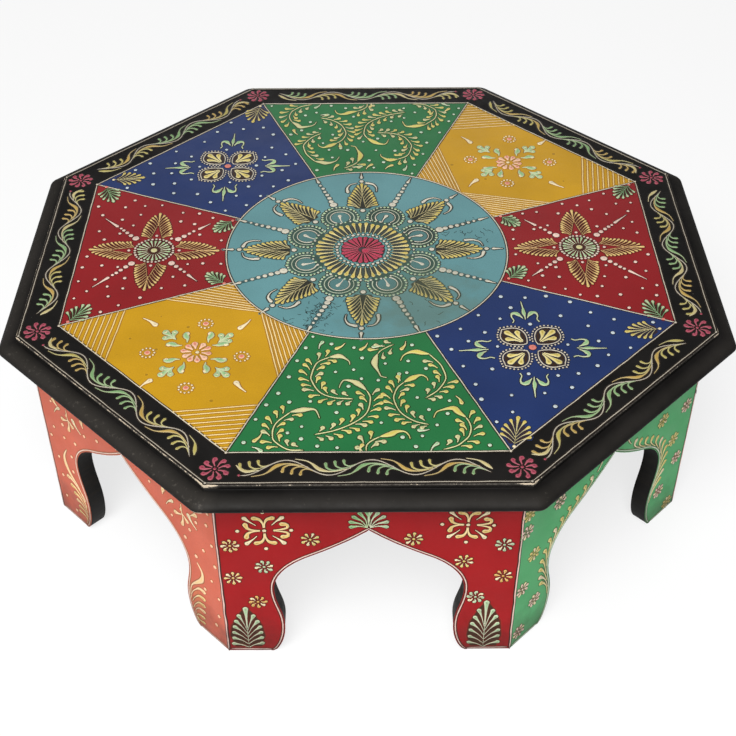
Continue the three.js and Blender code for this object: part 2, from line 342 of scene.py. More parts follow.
class Canvas:
    """Raised strokes on one painted surface, all in one mesh. Points are in its millimetres."""

    def __init__(self, place, ground, smoke=SMOKE, foot=FOOT, outline=None):
        self.place, self.ground, self.smoke, self.outline = place, ground, smoke, outline
        self.foot, self.halo = foot, foot * HALO_SHARE
        self.points, self.heights, self.colours, self.faces = [], [], [], []
        self.total, self.stains, self.marks = [0], [0], []
        self.move, self.scale = np.eye(3), 1.0

    def at(self, x=0.0, y=0.0, turn=0.0, size=1.0, mirror=1):
        """The same canvas drawn on from another origin."""
        c, s = cos(turn) * size, sin(turn) * size
        child = copy.copy(self)
        child.move = self.move @ np.array([[c * mirror, -s, x], [s * mirror, c, y], [0, 0, 1]])
        child.scale = self.scale * size
        return child

    def outward(self, radius, facing, sway=0.0, size=1.0):
        """Drawn on from a point at a radius, with y away from the middle or nearly so."""
        turn = facing - QUARTER + (uniform(-sway, sway) if sway else 0)
        return self.at(*polar(radius, facing), turn, size)

    def from_to(self, base, tip):
        """Drawn on from a base point, with y towards a tip. Also gives the distance between them."""
        x, y = np.array(tip, float) - base
        return self.at(*base, atan2(y, x) - QUARTER), hypot(x, y)

    def to_surface(self, points):
        points = np.atleast_2d(np.array(points, float))
        return points @ self.move[:2, :2].T + self.move[:2, 2]

    def fits(self, point, clear):
        """Whether a point lies well inside the painted area."""
        spot = self.to_surface(point)
        return inside(self.outline, spot)[0] and distance_to(self.outline, spot)[0] > clear

    def add(self, points, heights, colours, faces):
        base = self.total[0]
        self.points.append(points)
        self.heights.append(heights)
        self.colours.append(colours)
        self.faces += [tuple(base + k for k in face) for face in faces]
        self.total[0] += len(points)

    def add_rings(self, *layers):
        """Closed rings, each with its points, height and colour. The last two are single points, the middle
        above and below."""
        count, rings = len(layers[0][0]), len(layers) - 2
        crown = rings * count
        points = np.vstack([layer[0] for layer in layers])
        heights = np.concatenate([np.full(len(layer[0]), layer[1]) for layer in layers])
        colours = np.vstack([np.broadcast_to(layer[2], (len(layer[0]), 3)) for layer in layers])
        faces = bands(count, rings) + fan(count, crown - count, crown) + fan(count, 0, crown + 1, flip=True)
        self.add(points, heights, colours, faces)

    def stroke(self, path, widths, tint, height=RELIEF, closed=False, hollow=None):
        """A rounded ridge along a path. Its edges and thin parts take the tint's second colour."""
        path = self.to_surface(path)
        count = len(path)
        widths = np.broadcast_to(widths, count)
        reach = widths[:, None] / 2 * self.scale
        core, rim = (colour * uniform(0.93, 1.05) for colour in tint)
        wide = np.clip((widths / widths.max() - 0.3) / 0.4, 0, 1)[:, None]
        core = rim + (core - rim) * wide
        rim = np.broadcast_to(rim, (count, 3))
        rise = height * np.clip(LEAST_RISE + (1 - LEAST_RISE) * reach / FULL_REACH, LEAST_RISE, 1)
        if closed:
            tangent = unit(np.roll(path, -1, axis=0) - np.roll(path, 1, axis=0))
        else:
            tangent = unit(np.gradient(path, axis=0))
        crest, crest_colour = rise.copy(), core.copy()
        if hollow is not None:
            crest[hollow] *= HOLLOW_RISE
            crest_colour[hollow] *= HOLLOW_SHADE
        if not closed:
            ends = path[[0, -1]] + tangent[[0, -1]] * ((-self.foot,), (self.foot,))
            path, tangent = framed(path, ends), framed(tangent, tangent[[0, -1]])
            reach, rise, crest = framed(reach, TIP), framed(rise, FOOT_RISE), framed(crest, FOOT_RISE)
            core, rim, crest_colour = (framed(part, self.smoke) for part in (core, rim, crest_colour))
            count += 2

        beside = [reach + gap for gap in (self.halo, self.foot, BRINK)]
        across = np.hstack(beside + [reach * share for share in SECTION_REACH])
        across = np.hstack([-across, 0 * reach, across[:, ::-1]])
        low = FOOT_RISE + 0 * rise
        half = [-BED + 0 * rise, low, low, *(rise * share for share in SECTION_RISE)]
        heights = np.hstack([*half, crest, *half[::-1]])
        columns = across.shape[1]
        points = path[:, None] + leftward(tangent)[:, None] * across[:, :, None]
        ground = self.ground(points[:, [0, -1]].reshape(-1, 2)).reshape(count, 2, 3)
        smoke = np.broadcast_to(self.smoke, (count, 3))
        side = [smoke, smoke, rim * 0.86, (core + rim) / 2]
        colours = np.stack([ground[:, 0], *side, crest_colour, *side[::-1], ground[:, 1]], 1)

        points, heights, colours = points.reshape(-1, 2), heights.ravel(), colours.reshape(-1, 3)
        faces = bands(columns, count, wrap=closed, flip=True)
        if not closed:
            start = len(points)
            faces += fan(columns, 0, start) + fan(columns, start - columns, start + 1, flip=True)
            ends = path[[0, -1]] + tangent[[0, -1]] * ((-self.halo,), (self.halo,))
            points = np.vstack([points, ends])
            heights = np.append(heights, [-BED, -BED])
            colours = np.vstack([colours, self.ground(ends)])
        self.add(points, heights, colours, faces)
        self.marks.extend(path)

    def line(self, path, width, tint, height=RELIEF, closed=False):
        """An even line with a slightly unsteady width."""
        widths = width * np.array([uniform(0.84, 1.16) for _ in path])
        if not closed:
            widths[[0, -1]] = 0.1
        self.stroke(path, widths, tint, height, closed)

    def brush(self, points, widths, tint):
        """A stroke through given points. Its widths are spread evenly along it."""
        path = spline(points, 1.3)
        self.stroke(path, np.interp(way(path), np.linspace(0, 1, len(widths)), widths), tint)

    def comma(self, points, width, tint, thin=0.17, swell=1.8):
        """A stroke that swells from its thin tail to a round head at the last point."""
        path = spline(points, max(0.8, width * 0.5))
        head = len(path) - 1
        widths = np.append(width * (thin + (1 - thin) * way(path) ** swell), width * HEAD_WIDTH)
        path = np.vstack([path, path[-1] + unit(path[-1] - path[-2]) * width * HEAD_AHEAD])
        self.stroke(path, widths, tint, hollow=head if width > HOLLOW_WIDTH else None)

    def drop(self, tail, head, width, tint, bend=0.0, swell=1.7):
        """A teardrop from its thin tail to its round head. Bend bows it to the left of its way."""
        tail, head = np.array([tail, head], float)
        middle = (tail + head) / 2 + leftward(head - tail) * bend / 2
        self.comma([tail, middle, head], width, tint, swell=swell)

    def dot(self, x, y, radius, tint, sides=9):
        """A round bead with a small dimple."""
        centre = self.to_surface([x, y])
        radius *= self.scale
        angles = np.arange(sides) * 2 * pi / sides
        ring = np.column_stack([np.cos(angles), np.sin(angles)])
        core, rim = (colour * uniform(0.92, 1.05) for colour in tint)
        rise = RELIEF * min(1, 0.45 + radius * 0.45)
        halo = centre + ring * (radius + self.halo * 0.8)
        self.add_rings(
            (halo, -BED, self.ground(halo)),
            (centre + ring * (radius + self.foot), FOOT_RISE, self.smoke),
            (centre + ring * (radius + BRINK), FOOT_RISE, self.smoke),
            (centre + ring * radius * 0.96, rise * 0.5, rim * 0.9),
            (centre + ring * radius * 0.55, rise, core),
            (centre, rise * DIMPLE, core * DIMPLE),
            (centre, -BED, self.smoke),
        )
        self.marks.append(centre[0])

    def patch(self, outline, colour, fade=1.0, strength=1.0):
        """A flat stain of colour with a soft edge. The outline is seen whole from its middle."""
        def glazed(points):
            return self.ground(points) * (1 - strength) + np.array(colour) * strength

        ring = self.to_surface(outline)
        middle = ring.mean(0)[None]
        edge = ring + unit(ring - middle) * fade
        self.stains[0] += 1
        height = STAIN + STAIN_STEP * (self.stains[0] % STAIN_LAYERS)
        self.add_rings(
            (edge, -STAIN_BED, self.ground(edge)), (ring, height, glazed(ring)),
            (middle, height, glazed(middle)), (middle, -STAIN_BED, glazed(middle)),
        )

    def build(self, name, material):
        vertices = self.place(np.vstack(self.points), np.concatenate(self.heights))
        make_object(name, vertices, self.faces, material, np.vstack(self.colours))


class Field:
    """One flat painted area: a thin coat of paint, darker along its border, and what is drawn on it."""

    def __init__(self, name, outline, place, colour, slot, smoke, wash=WASH, foot=FOOT):
        self.name, self.outline, self.place = name, np.array(outline), place
        self.colour, self.slot, self.wash = colour, slot, wash
        self.canvas = Canvas(place, self.ground, smoke, foot, self.outline)

    def ground(self, points):
        share = np.clip(distance_to(self.outline, points) / WASH_WIDTH, 0, 1)[:, None]
        return self.colour * (self.wash + (1 - self.wash) * share)

    def build(self, material):
        """The coat, with its border drawn inwards as a ring of its own, and the ornament on it."""
        bm = bmesh.new()
        count = len(self.outline)
        flat, deep = (self.place(self.outline, np.full(count, height)) for height in (0, -COAT))
        upper = [bm.verts.new(v) for v in flat]
        lower = [bm.verts.new(v) for v in deep]
        face = bm.faces.new(upper)
        bm.faces.new(lower[::-1])
        for i in range(count):
            j = (i + 1) % count
            bm.faces.new((lower[i], lower[j], upper[j], upper[i]))
        border = set(bm.verts)
        bmesh.ops.inset_region(bm, faces=[face], thickness=WASH_WIDTH * MM, use_even_offset=True)
        bm.verts.index_update()
        vertices = [v.co.copy() for v in bm.verts]
        faces = [tuple(v.index for v in f.verts) for f in bm.faces]
        colours = np.array([self.colour * (self.wash if v in border else 1) for v in bm.verts])
        bm.free()
        make_object(f"coat_{self.name}", vertices, faces, material, colours)
        self.canvas.build(f"ornament_{self.name}", material)

    def scatter(self, spacing, radius, tint, clear, seed):
        """Fills the open ground with loose dots that keep off everything drawn so far."""
        dice = random.Random(seed)
        low, high = self.outline.min(0), self.outline.max(0)
        tries, margin = 1400, radius + 2.2
        taken, placed = np.array(self.canvas.marks), []

        def away(p, spots, gap):
            return np.linalg.norm(np.reshape(spots, (-1, 2)) - p, axis=1).min(initial=np.inf) >= gap

        for _ in range(tries):
            p = np.array([dice.uniform(low[0], high[0]), dice.uniform(low[1], high[1])])
            if self.canvas.fits(p, margin) and away(p, taken, clear) and away(p, placed, spacing):
                placed.append(p)
        for x, y in placed:
            self.canvas.dot(x, y, radius * dice.uniform(0.82, 1.15), tint)


class Nodes:
    """The nodes of a material or a world. Each helper adds nodes and gives the output to link on."""

    def __init__(self, owner):
        owner.use_nodes = True
        self.owner, self.tree = owner, owner.node_tree

    def feed(self, node, inputs):
        """Sets a node's inputs, or links those that come from another node. A colour is an array."""
        for socket, value in inputs.items():
            if isinstance(value, bpy.types.NodeSocket):
                self.tree.links.new(value, node.inputs[socket])
            elif isinstance(value, np.ndarray):
                node.inputs[socket].default_value = (*value, 1)
            else:
                node.inputs[socket].default_value = value

    def add(self, kind, inputs=(), output=0, **settings):
        node = self.tree.nodes.new("ShaderNode" + kind)
        for key, value in settings.items():
            setattr(node, key, value)
        self.feed(node, dict(inputs))
        return node.outputs[output]

    def place(self):
        return self.add("TexCoord", output="Object")

    def noise(self, scale, detail=3.0, roughness=0.5, stretch=(1, 1, 1)):
        """Noise over the piece in metres, drawn out along an axis by a small stretch."""
        place = self.add("VectorMath", {0: self.place(), 1: stretch}, operation="MULTIPLY")
        inputs = {"Vector": place, "Scale": scale, "Detail": detail, "Roughness": roughness}
        return self.add("TexNoise", inputs, "Fac")

    def ramp(self, value, low, high, to_low=0.0, to_high=1.0):
        return self.add("MapRange", {0: value, 1: low, 2: high, 3: to_low, 4: to_high})

    def uneven(self, low, high, *noise):
        """A value that wanders between two others over the piece."""
        return self.ramp(self.noise(*noise), 0.3, 0.7, low, high)

    def combine(self, first, second, operation="ADD"):
        return self.add("Math", {0: first, 1: second}, operation=operation)

    def mix(self, share, first, second, blend="MIX"):
        return self.add("Mix", {0: share, 6: first, 7: second}, 2, data_type="RGBA", blend_type=blend)

    def finish(self, colour, roughness, lumps, strength, depth, shine=0.5, metallic=0.0):
        """Feeds the shader and gives the material. Its lumps are as deep as given in millimetres."""
        bump = self.add("Bump", {"Height": lumps, "Strength": strength, "Distance": depth * MM}, "Normal")
        inputs = {"Base Color": colour, "Roughness": roughness, "Normal": bump}
        inputs |= {"Specular IOR Level": shine, "Metallic": metallic}
        self.feed(self.tree.nodes["Principled BSDF"], inputs)
        return self.owner


def painted(name, dirt=0.35, gloss=0.42, shine=0.22, darker_near_floor=0.0, dulled=None):
    """Hand-brushed satin paint whose colour is drawn on the mesh, with thin patches and specks of dirt.
    Darker near floor sets how much darker and browner the paint is made towards the floor. Dulled is the
    middle of a greyed spot."""
    s = Nodes(bpy.data.materials.new(name))
    shade = s.combine(s.uneven(0.9, 1.08, 24, 4), s.uneven(0.95, 1.04, 900, 2, 0.6), "MULTIPLY")
    shade = s.add("CombineColor", {0: shade, 1: shade, 2: shade})
    colour = s.mix(1.0, s.add("Attribute", output="Color", attribute_name="paint"), shade, "MULTIPLY")
    colour = s.mix(s.ramp(s.noise(420, 5, 0.75), 0.66, 0.74, 0, dirt), colour, srgb(40, 32, 24))
    if darker_near_floor:
        # The paint is made darker and browner towards the floor, by height alone
        height = s.add("SeparateXYZ", {0: s.place()}, "Z")
        height = s.combine(height, s.uneven(-0.012, 0.012, 70, 4, 0.6))
        colour = s.mix(s.ramp(height, 0.0, 0.034, darker_near_floor, 0), colour, srgb(46, 24, 20))
    if dulled:
        off = s.add("VectorMath", {0: s.place(), 1: dulled}, "Value", operation="DISTANCE")
        off = s.combine(off, s.uneven(-0.02, 0.02, 45, 5, 0.65))
        colour = s.mix(s.ramp(off, 0.018, 0.052, 0.42, 0), colour, srgb(88, 98, 76))
    roughness = s.uneven(gloss - 0.06, gloss + 0.1, 60, 4, 0.6)
    return s.finish(colour, roughness, s.noise(700, 3, 0.6), 0.25, 0.08, shine)


def black_lacquer():
    """Black paint on the routed top board, greyer where hands have rubbed it and chipped to pale primer
    along the sharp arris. A painted sheen lightens it smoothly towards grey partway round the rounded edge."""
    s = Nodes(bpy.data.materials.new("black_lacquer"))
    base = s.mix(s.ramp(s.noise(30, 5, 0.6), 0.35, 0.7), srgb(15, 14, 13), srgb(27, 25, 24))
    wear_and_sheen = s.add("Attribute", output="Fac", attribute_name="wear_and_sheen")
    # Painted sheen: the black lightens smoothly towards grey where the vertex value is high, mostly partway
    # round the rounded edge
    base = s.mix(s.ramp(wear_and_sheen, 0.22, 0.37, 0, 0.12), base, RUBBED_AND_SHEEN_GREY)
    rub_and_sheen = s.combine(s.noise(330, 6, 0.72), wear_and_sheen)
    base = s.mix(s.ramp(s.noise(420, 2, 0.5), 0.79, 0.81, 0, 0.7), base, srgb(190, 184, 172))
    base = s.mix(s.ramp(rub_and_sheen, 0.93, 1.15, 0, 0.55), base, RUBBED_AND_SHEEN_GREY)
    chipped = s.ramp(rub_and_sheen, 1.18, 1.22)
    colour = s.mix(chipped, base, srgb(206, 190, 166))
    lumps = s.combine(s.noise(260, 4, 0.6), chipped, "SUBTRACT")
    return s.finish(colour, s.uneven(0.48, 0.68, 90, 5, 0.65), lumps, 0.4, 0.25, 0.1)


def thin_black():
    """Black paint brushed thinly over wood, with the grain showing: cut edges, inner faces and underside."""
    s = Nodes(bpy.data.materials.new("thin_black_paint"))
    grain = s.noise(60, 5, 0.6, (1, 1, 8))
    colour = s.mix(s.ramp(grain, 0.35, 0.68), srgb(19, 18, 18), srgb(31, 28, 25))
    return s.finish(colour, s.ramp(grain, 0.3, 0.7, 0.5, 0.68), grain, 0.35, 0.3, 0.14)


def bare_wood():
    """Plain pale softwood, a little dusty."""
    s = Nodes(bpy.data.materials.new("bare_wood"))
    rings = s.noise(90, 4, 0.55, (1, 1, 0.12))
    colour = s.mix(s.ramp(rings, 0.35, 0.65), srgb(176, 134, 88), srgb(208, 170, 122))
    colour = s.mix(s.ramp(s.noise(240, 4, 0.7), 0.5, 0.75, 0, 0.3), colour, srgb(120, 88, 58))
    return s.finish(colour, s.ramp(rings, 0.3, 0.7, 0.68, 0.82), rings, 0.3, 0.2)


def screw_steel():
    """Zinc-plated steel, dulled unevenly."""
    s = Nodes(bpy.data.materials.new("screw_steel"))
    dull = s.noise(800, 4, 0.6)
    colour = s.mix(s.ramp(dull, 0.35, 0.7), srgb(176, 174, 166), srgb(122, 118, 108))
    return s.finish(colour, s.ramp(dull, 0.3, 0.7, 0.3, 0.5), dull, 0.15, 0.05, metallic=1.0)


def make_camera():
    """The photograph's view: turned a hair to the left and looking down on the front."""
    azimuth, elevation, roll = (radians(a) for a in (-0.178, 41.1866, -0.2101))
    distance, focal_pixels, frame_pixels = 1.0313, 1309.0, 736
    target = Matrix.Translation((0.00069, 0.05674, 0))
    facing = Matrix.Rotation(azimuth, 4, "Z") @ Matrix.Rotation(QUARTER - elevation, 4, "X")
    rolled = Matrix.Rotation(roll, 4, "Z") @ Matrix.Translation((0, 0, distance))
    camera = bpy.data.objects.new("camera", bpy.data.cameras.new("camera"))
    camera.matrix_world = target @ facing @ rolled
    camera.data.sensor_width = 36
    camera.data.lens = focal_pixels * camera.data.sensor_width / frame_pixels
    camera.data.clip_start, camera.data.clip_end = 0.01, 50
    bpy.context.scene.collection.objects.link(camera)
    bpy.context.scene.camera = camera


def area_light(name, place, aim, power):
    lamp = bpy.data.lights.new(name, "AREA")
    lamp.shape, lamp.size, lamp.energy = "DISK", 1.6, power
    obj = bpy.data.objects.new(name, lamp)
    obj.location = place
    obj.rotation_mode = "QUATERNION"
    obj.rotation_quaternion = (Vector(aim) - Vector(place)).to_track_quat("-Z", "Y")
    bpy.context.scene.collection.objects.link(obj)


def make_studio():
    """A pale floor under a plain white world, a soft key light and a soft light behind."""
    area_light("key", (-0.4, -1.4, 2.0), (0, 0, 0.1), 74)
    area_light("behind", (0, 2.2, 0.6), (0, 0, 0.15), 8)
    white = (1, 1, 1, 1)

    world = Nodes(bpy.data.worlds.new("studio"))
    strength = world.ramp(world.add("LightPath", output="Is Camera Ray"), 0, 1, 0.15, 1)
    world.feed(world.tree.nodes["Background"], {"Color": white, "Strength": strength})
    bpy.context.scene.world = world.owner

    s = Nodes(bpy.data.materials.new("floor"))
    matt = s.tree.nodes["Principled BSDF"]
    s.feed(matt, {"Base Color": (0.95, 0.95, 0.95, 1), "Roughness": 0.9})
    share = s.combine(s.add("LightPath", output="Is Camera Ray"), 0.75, "MULTIPLY")
    glow = s.add("Emission", {"Color": white, "Strength": 1.0})
    blended = s.add("MixShader", {0: share, 1: matt.outputs[0], 2: glow})
    s.feed(s.tree.nodes["Material Output"], {"Surface": blended})
    bpy.ops.mesh.primitive_circle_add(vertices=96, radius=6, fill_type="NGON", location=(0, 0, 0))
    floor = bpy.context.object
    floor.name = "floor"
    floor.data.materials.append(s.owner)


def top_ring(out, height):
    """One outline of the routed board: its corners are rounder the further it stands out."""
    radius = RIM_CORNER_RADIUS + (EDGE_CORNER_RADIUS - RIM_CORNER_RADIUS) * max(out, 0) / EDGE_OVERHANG
    centre = (RIM_APOTHEM + out - radius) / cos(HALF_TURN)
    points = []
    for corner in range(SIDES):
        facing = HALF_TURN + corner * TURN
        for step in range(-1, CORNER_STEPS + 2):
            angle = facing + TURN * (min(max(step / CORNER_STEPS, 0), 1) - 0.5)
            along = {-1: -CORNER_WORN, CORNER_STEPS + 1: CORNER_WORN}.get(step, 0)
            x, y = polar(centre, facing) + polar(radius, angle) + polar(along, angle + QUARTER)
            points.append((x * MM, y * MM, height * MM))
    return points


def border_ring(height):
    """The inner edge of the black border beneath, with as many points as the other outlines. Its corners
    are blunted over a millimetre."""
    radius, blunted, last = (RIM_APOTHEM - UNDER_BORDER) / cos(HALF_TURN), 0.4, CORNER_STEPS + 2
    points = []
    for corner in range(SIDES):
        facing = HALF_TURN + corner * TURN
        for step in range(last + 1):
            share = step / last - 0.5
            x, y = polar(radius - abs(share) * blunted, facing) + polar(1, facing + QUARTER) * share
            points.append((x * MM, y * MM, height * MM))
    return points


def make_top(material, under_material):
    """The moulded board. Its flat face lies a little low, to leave room for the raised paint on it."""
    face = GROUND - COAT / 2
    step_foot = TABLE_HEIGHT - STEP_DEPTH
    # Each outline: how far it stands out past the rim, its height, and how worn its sides and corners are.
    # On the rounded edge these values are mostly a painted sheen
    section = [
        (-1.9, face, 0.06, 0.2),
        (-1.1, face, 0.16, 0.68),
        (-0.45, face, 0.42, 0.8),
        (-0.12, face - 0.1, 0.6, 1.0),
        (0.0, face - 0.4, 0.58, 0.95),
        (0.0, face - 1.2, 0.3, 0.7),
        (0.0, step_foot + 0.25, 0.12, 0.2),
        (0.25, step_foot, 0.1, 0.1),
    ]
    for angle in (radians(a) for a in (6, 16, 27, 38, 49, 60, 70, 79, 86, 90)):
        out, drop = EDGE_OVERHANG * sin(angle), OVOLO_DROP * (1 - cos(angle))
        # Painted sheen with a little rubbing, lightest partway round the rounded edge
        rub_and_sheen = 0.18 + 0.13 * sin(2 * angle)
        section.append((out, step_foot - drop, rub_and_sheen, rub_and_sheen * 1.1))
    section += [
        (EDGE_OVERHANG, UNDERSIDE + UNDER_ARRIS, 0.3, 0.55),
        (EDGE_OVERHANG - 0.3, UNDERSIDE + 0.3, 0.34, 0.6),
        (EDGE_OVERHANG - UNDER_ARRIS, UNDERSIDE, 0.2, 0.4),
        (-UNDER_BORDER, UNDERSIDE, 0.0, 0.0),
    ]
    vertices, wear_and_sheen = [], []
    for out, height, rub_and_sheen, rub_and_sheen_corner in section:
        vertices += top_ring(out, height) if out > -UNDER_BORDER else border_ring(height)
        for corner, rubbed in enumerate(RUBBED_AND_SHEEN_CORNERS):
            near, far = RUBBED_AND_SHEEN_SIDES[corner], RUBBED_AND_SHEEN_SIDES[(corner + 1) % SIDES]
            wear_and_sheen += [rub_and_sheen * near, *[rub_and_sheen_corner * rubbed] * (CORNER_STEPS + 1), rub_and_sheen * far]
    total, count = len(vertices), len(vertices) // len(section)
    faces = bands(count, len(section), flip=True) + [range(count), range(total - count, total)[::-1]]
    top = make_object("moulded_top", vertices, faces, material, wear_and_sheen=wear_and_sheen)
    top.data.materials.append(under_material)
    top.data.polygons[len(faces) - 1].material_index = 1
    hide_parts("top_board")


def board_outline(inset=0.0):
    """The arched edge of a side board in its own plane, from its right foot over to its left one. An inset
    draws it into the wood."""
    toe, bulge, waist, shoulder = (HALF_SIDE - w for w in (LEG_TOE, LEG_BULGE, LEG_WAIST, SHOULDER))
    curl = (WAIST_HEIGHT - BULGE_HEIGHT) * 0.4
    neck = SHOULDER_HEIGHT - WAIST_HEIGHT
    peak = ARCH_HEIGHT - SHOULDER_HEIGHT
    # Four curves end to end: the foot, then for each its two pulls and its end
    points = np.array([
        (toe, 0),
        ((toe + bulge) / 2, BULGE_HEIGHT * 0.12), (bulge, BULGE_HEIGHT / 2), (bulge, BULGE_HEIGHT),
        (bulge, BULGE_HEIGHT + curl), (waist, WAIST_HEIGHT - curl), (waist, WAIST_HEIGHT),
        (waist, WAIST_HEIGHT + neck * 0.4),
        (shoulder + (waist - shoulder) * 0.64, SHOULDER_HEIGHT - neck * 0.24),
        (shoulder, SHOULDER_HEIGHT),
        (shoulder * 0.7, SHOULDER_HEIGHT + peak * 0.24), (shoulder * 0.3, SHOULDER_HEIGHT + peak * 0.6),
        (0, ARCH_HEIGHT),
    ])
    curves = [bezier(*points[k:k + 4])[1:] for k in range(0, len(points) - 1, 3)]
    half = np.vstack([points[:1], *curves])
    into_wood = -leftward(unit(np.gradient(half, axis=0)))
    into_wood[0] = (0.6, 1)
    into_wood[-1] = (0, 1)
    half = half + into_wood * inset
    return np.vstack([half, (half[:-1] * (-1, 1))[::-1]])


def right_arch(inset):
    """The right half of the arched edge, from the foot up."""
    return board_outline(inset)[:4 * ARCH_STEPS + 1]


def on_board(index):
    """Places points of a side board, heights being over its coat of paint."""
    return on_upright(index * TURN, RING_APOTHEM + COAT)


def make_board(index, name, material):
    """One mitred board with an eased, black-painted arch edge."""
    back = BOARD_THICKNESS
    inner_half = (RING_APOTHEM - back) * tan(HALF_TURN) - MITRE_SPREAD
    roof = UNDERSIDE - TOP_GAP
    eased = [(BOARD_ARRIS, 0.0), (BOARD_ARRIS * 0.3, BOARD_ARRIS * 0.3), (0.0, BOARD_ARRIS)]
    layers = eased + [(inset, back - depth) for inset, depth in eased[::-1]]
    vertices = []
    for inset, depth in layers:
        half = HALF_SIDE - MITRE_GAP + (inner_half - HALF_SIDE) * depth / back
        corners = [(-half, inset), (-half, roof), (half, roof), (half, inset)]
        loop = np.vstack([corners, board_outline(inset)])
        vertices += list(on_board(index)(loop, np.full(len(loop), -COAT - depth)))
    total, count = len(vertices), len(vertices) // len(layers)
    faces = [range(count)[::-1], range(total - count, total)] + bands(count, len(layers))
    board = make_object(f"board_{name}", vertices, faces, material)
    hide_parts(f"panel_{name}")


def bead_ring(canvas, radius, count, size, tints, start=0.0, sweep=360.0):
    """Dots along a ring, in repeating tints."""
    for i in range(count):
        angle = radians(start + sweep * (i + uniform(-0.08, 0.08)) / count)
        x, y = polar(radius * uniform(0.985, 1.015), angle)
        canvas.dot(x, y, size * uniform(0.85, 1.12), tints[i % len(tints)], 8)


def petals(canvas, count, inner, outer, width, tints, bend=0.0, start=0.0, swell=1.5):
    """Drops standing round a centre, heads outwards."""
    for i in range(count):
        angle = radians(start + 360 * (i + uniform(-0.07, 0.07)) / count)
        reach = outer * uniform(0.96, 1.03)
        size = width * uniform(0.9, 1.1)
        middle = polar((inner + reach) / 2, angle + bend)
        path = [polar(inner, angle), middle, polar(reach - size / 2, angle)]
        canvas.comma(path, size, tints[i % len(tints)], 0.2, swell)


def floret(canvas, x, y, tint, size=5.6):
    """A little flower of short fat drops round a dot."""
    flower = canvas.at(x, y, uniform(0, 2 * pi))
    tints = [tint, tint, tint, CREAM]
    petals(flower, 8, size * 0.38, size, size * 0.36, tints, uniform(-0.2, 0.2), swell=1.8)
    flower.dot(0, 0, size * 0.15, tint, 8)


# Leaves of paired drops: the pairs, a drop's width, where the first and the last heads lie, how far and how
# late the leaf narrows, how much lower the first and the last tails lie, how thin they are, and the fork
BLUE_SPRAY = (4, 2.3, 0.34, 0.82, 0.5, 2.4, 0.24, 0.42, 0.15, 0)
RED_SPRAY = (4, 2.2, 0.3, 0.84, 0.5, 2.4, 0.22, 0.4, 0.16, 0)
STAR_LEAF = (10, 1.85, 0.12, 0.88, 0.66, 2.2, 0.24, 0.22, 0.2, 4.0)
PLUME_LEAF = (9, 2.15, 0.13, 0.88, 0.72, 1.8, 0.34, 0.24, 0.18, 2.2)
FOOT_LEAF = (6, 2.9, 0.1, 0.79, 0.5, 3.0, 0.1, 0.34, 0.14, 0)


def palm(canvas, length, half_width, tint, leaf):
    """A leaf from (0, 0) to (0, length). The heads of its drops lie on its outline, and their tails on its
    spine, which may fork towards the base."""
    pairs, width, low, high, taper, fall, first_run, last_run, thin, fork = leaf
    joint = length * 0.6
    for k in range(pairs):
        t = k / (pairs - 1)
        for side in (-1, 1):
            y = length * (low + (high - low) * t + uniform(-0.01, 0.01))
            x = side * half_width * (1 - taper * t ** fall) * uniform(0.95, 1.03)
            foot = max(y - length * (first_run + (last_run - first_run) * t), 0.4)
            rib = side * (0.35 + fork * max(0, 1 - foot / joint))
            bend = (rib + (x - rib) * 0.46, (foot + y) / 2 + 0.015 * length)
            canvas.comma([(rib, foot), bend, (x, y)], width * uniform(0.92, 1.08), tint, thin, 4.0)
    tip = [(0, length * 0.5), (0, length * 0.75), (0, length - width * 0.6)]
    canvas.comma(tip, width * 1.2, tint, 0.25, 2.6)
    for side in (-1, 1) if fork else (1,):
        canvas.line([(side * fork, 0.3), (side * fork / 2, joint / 2), (0, joint)], 0.5, (tint[1], tint[1]))


def beads_and_spike(canvas, places, sizes, spike, tint):
    """A row of shrinking beads along y that ends in a drawn-out point."""
    for y, size in zip(places, sizes):
        canvas.dot(uniform(-0.3, 0.3), y, size * uniform(0.92, 1.08), tint)
    canvas.drop((0, spike[1]), (0, spike[0]), 2.3, tint)


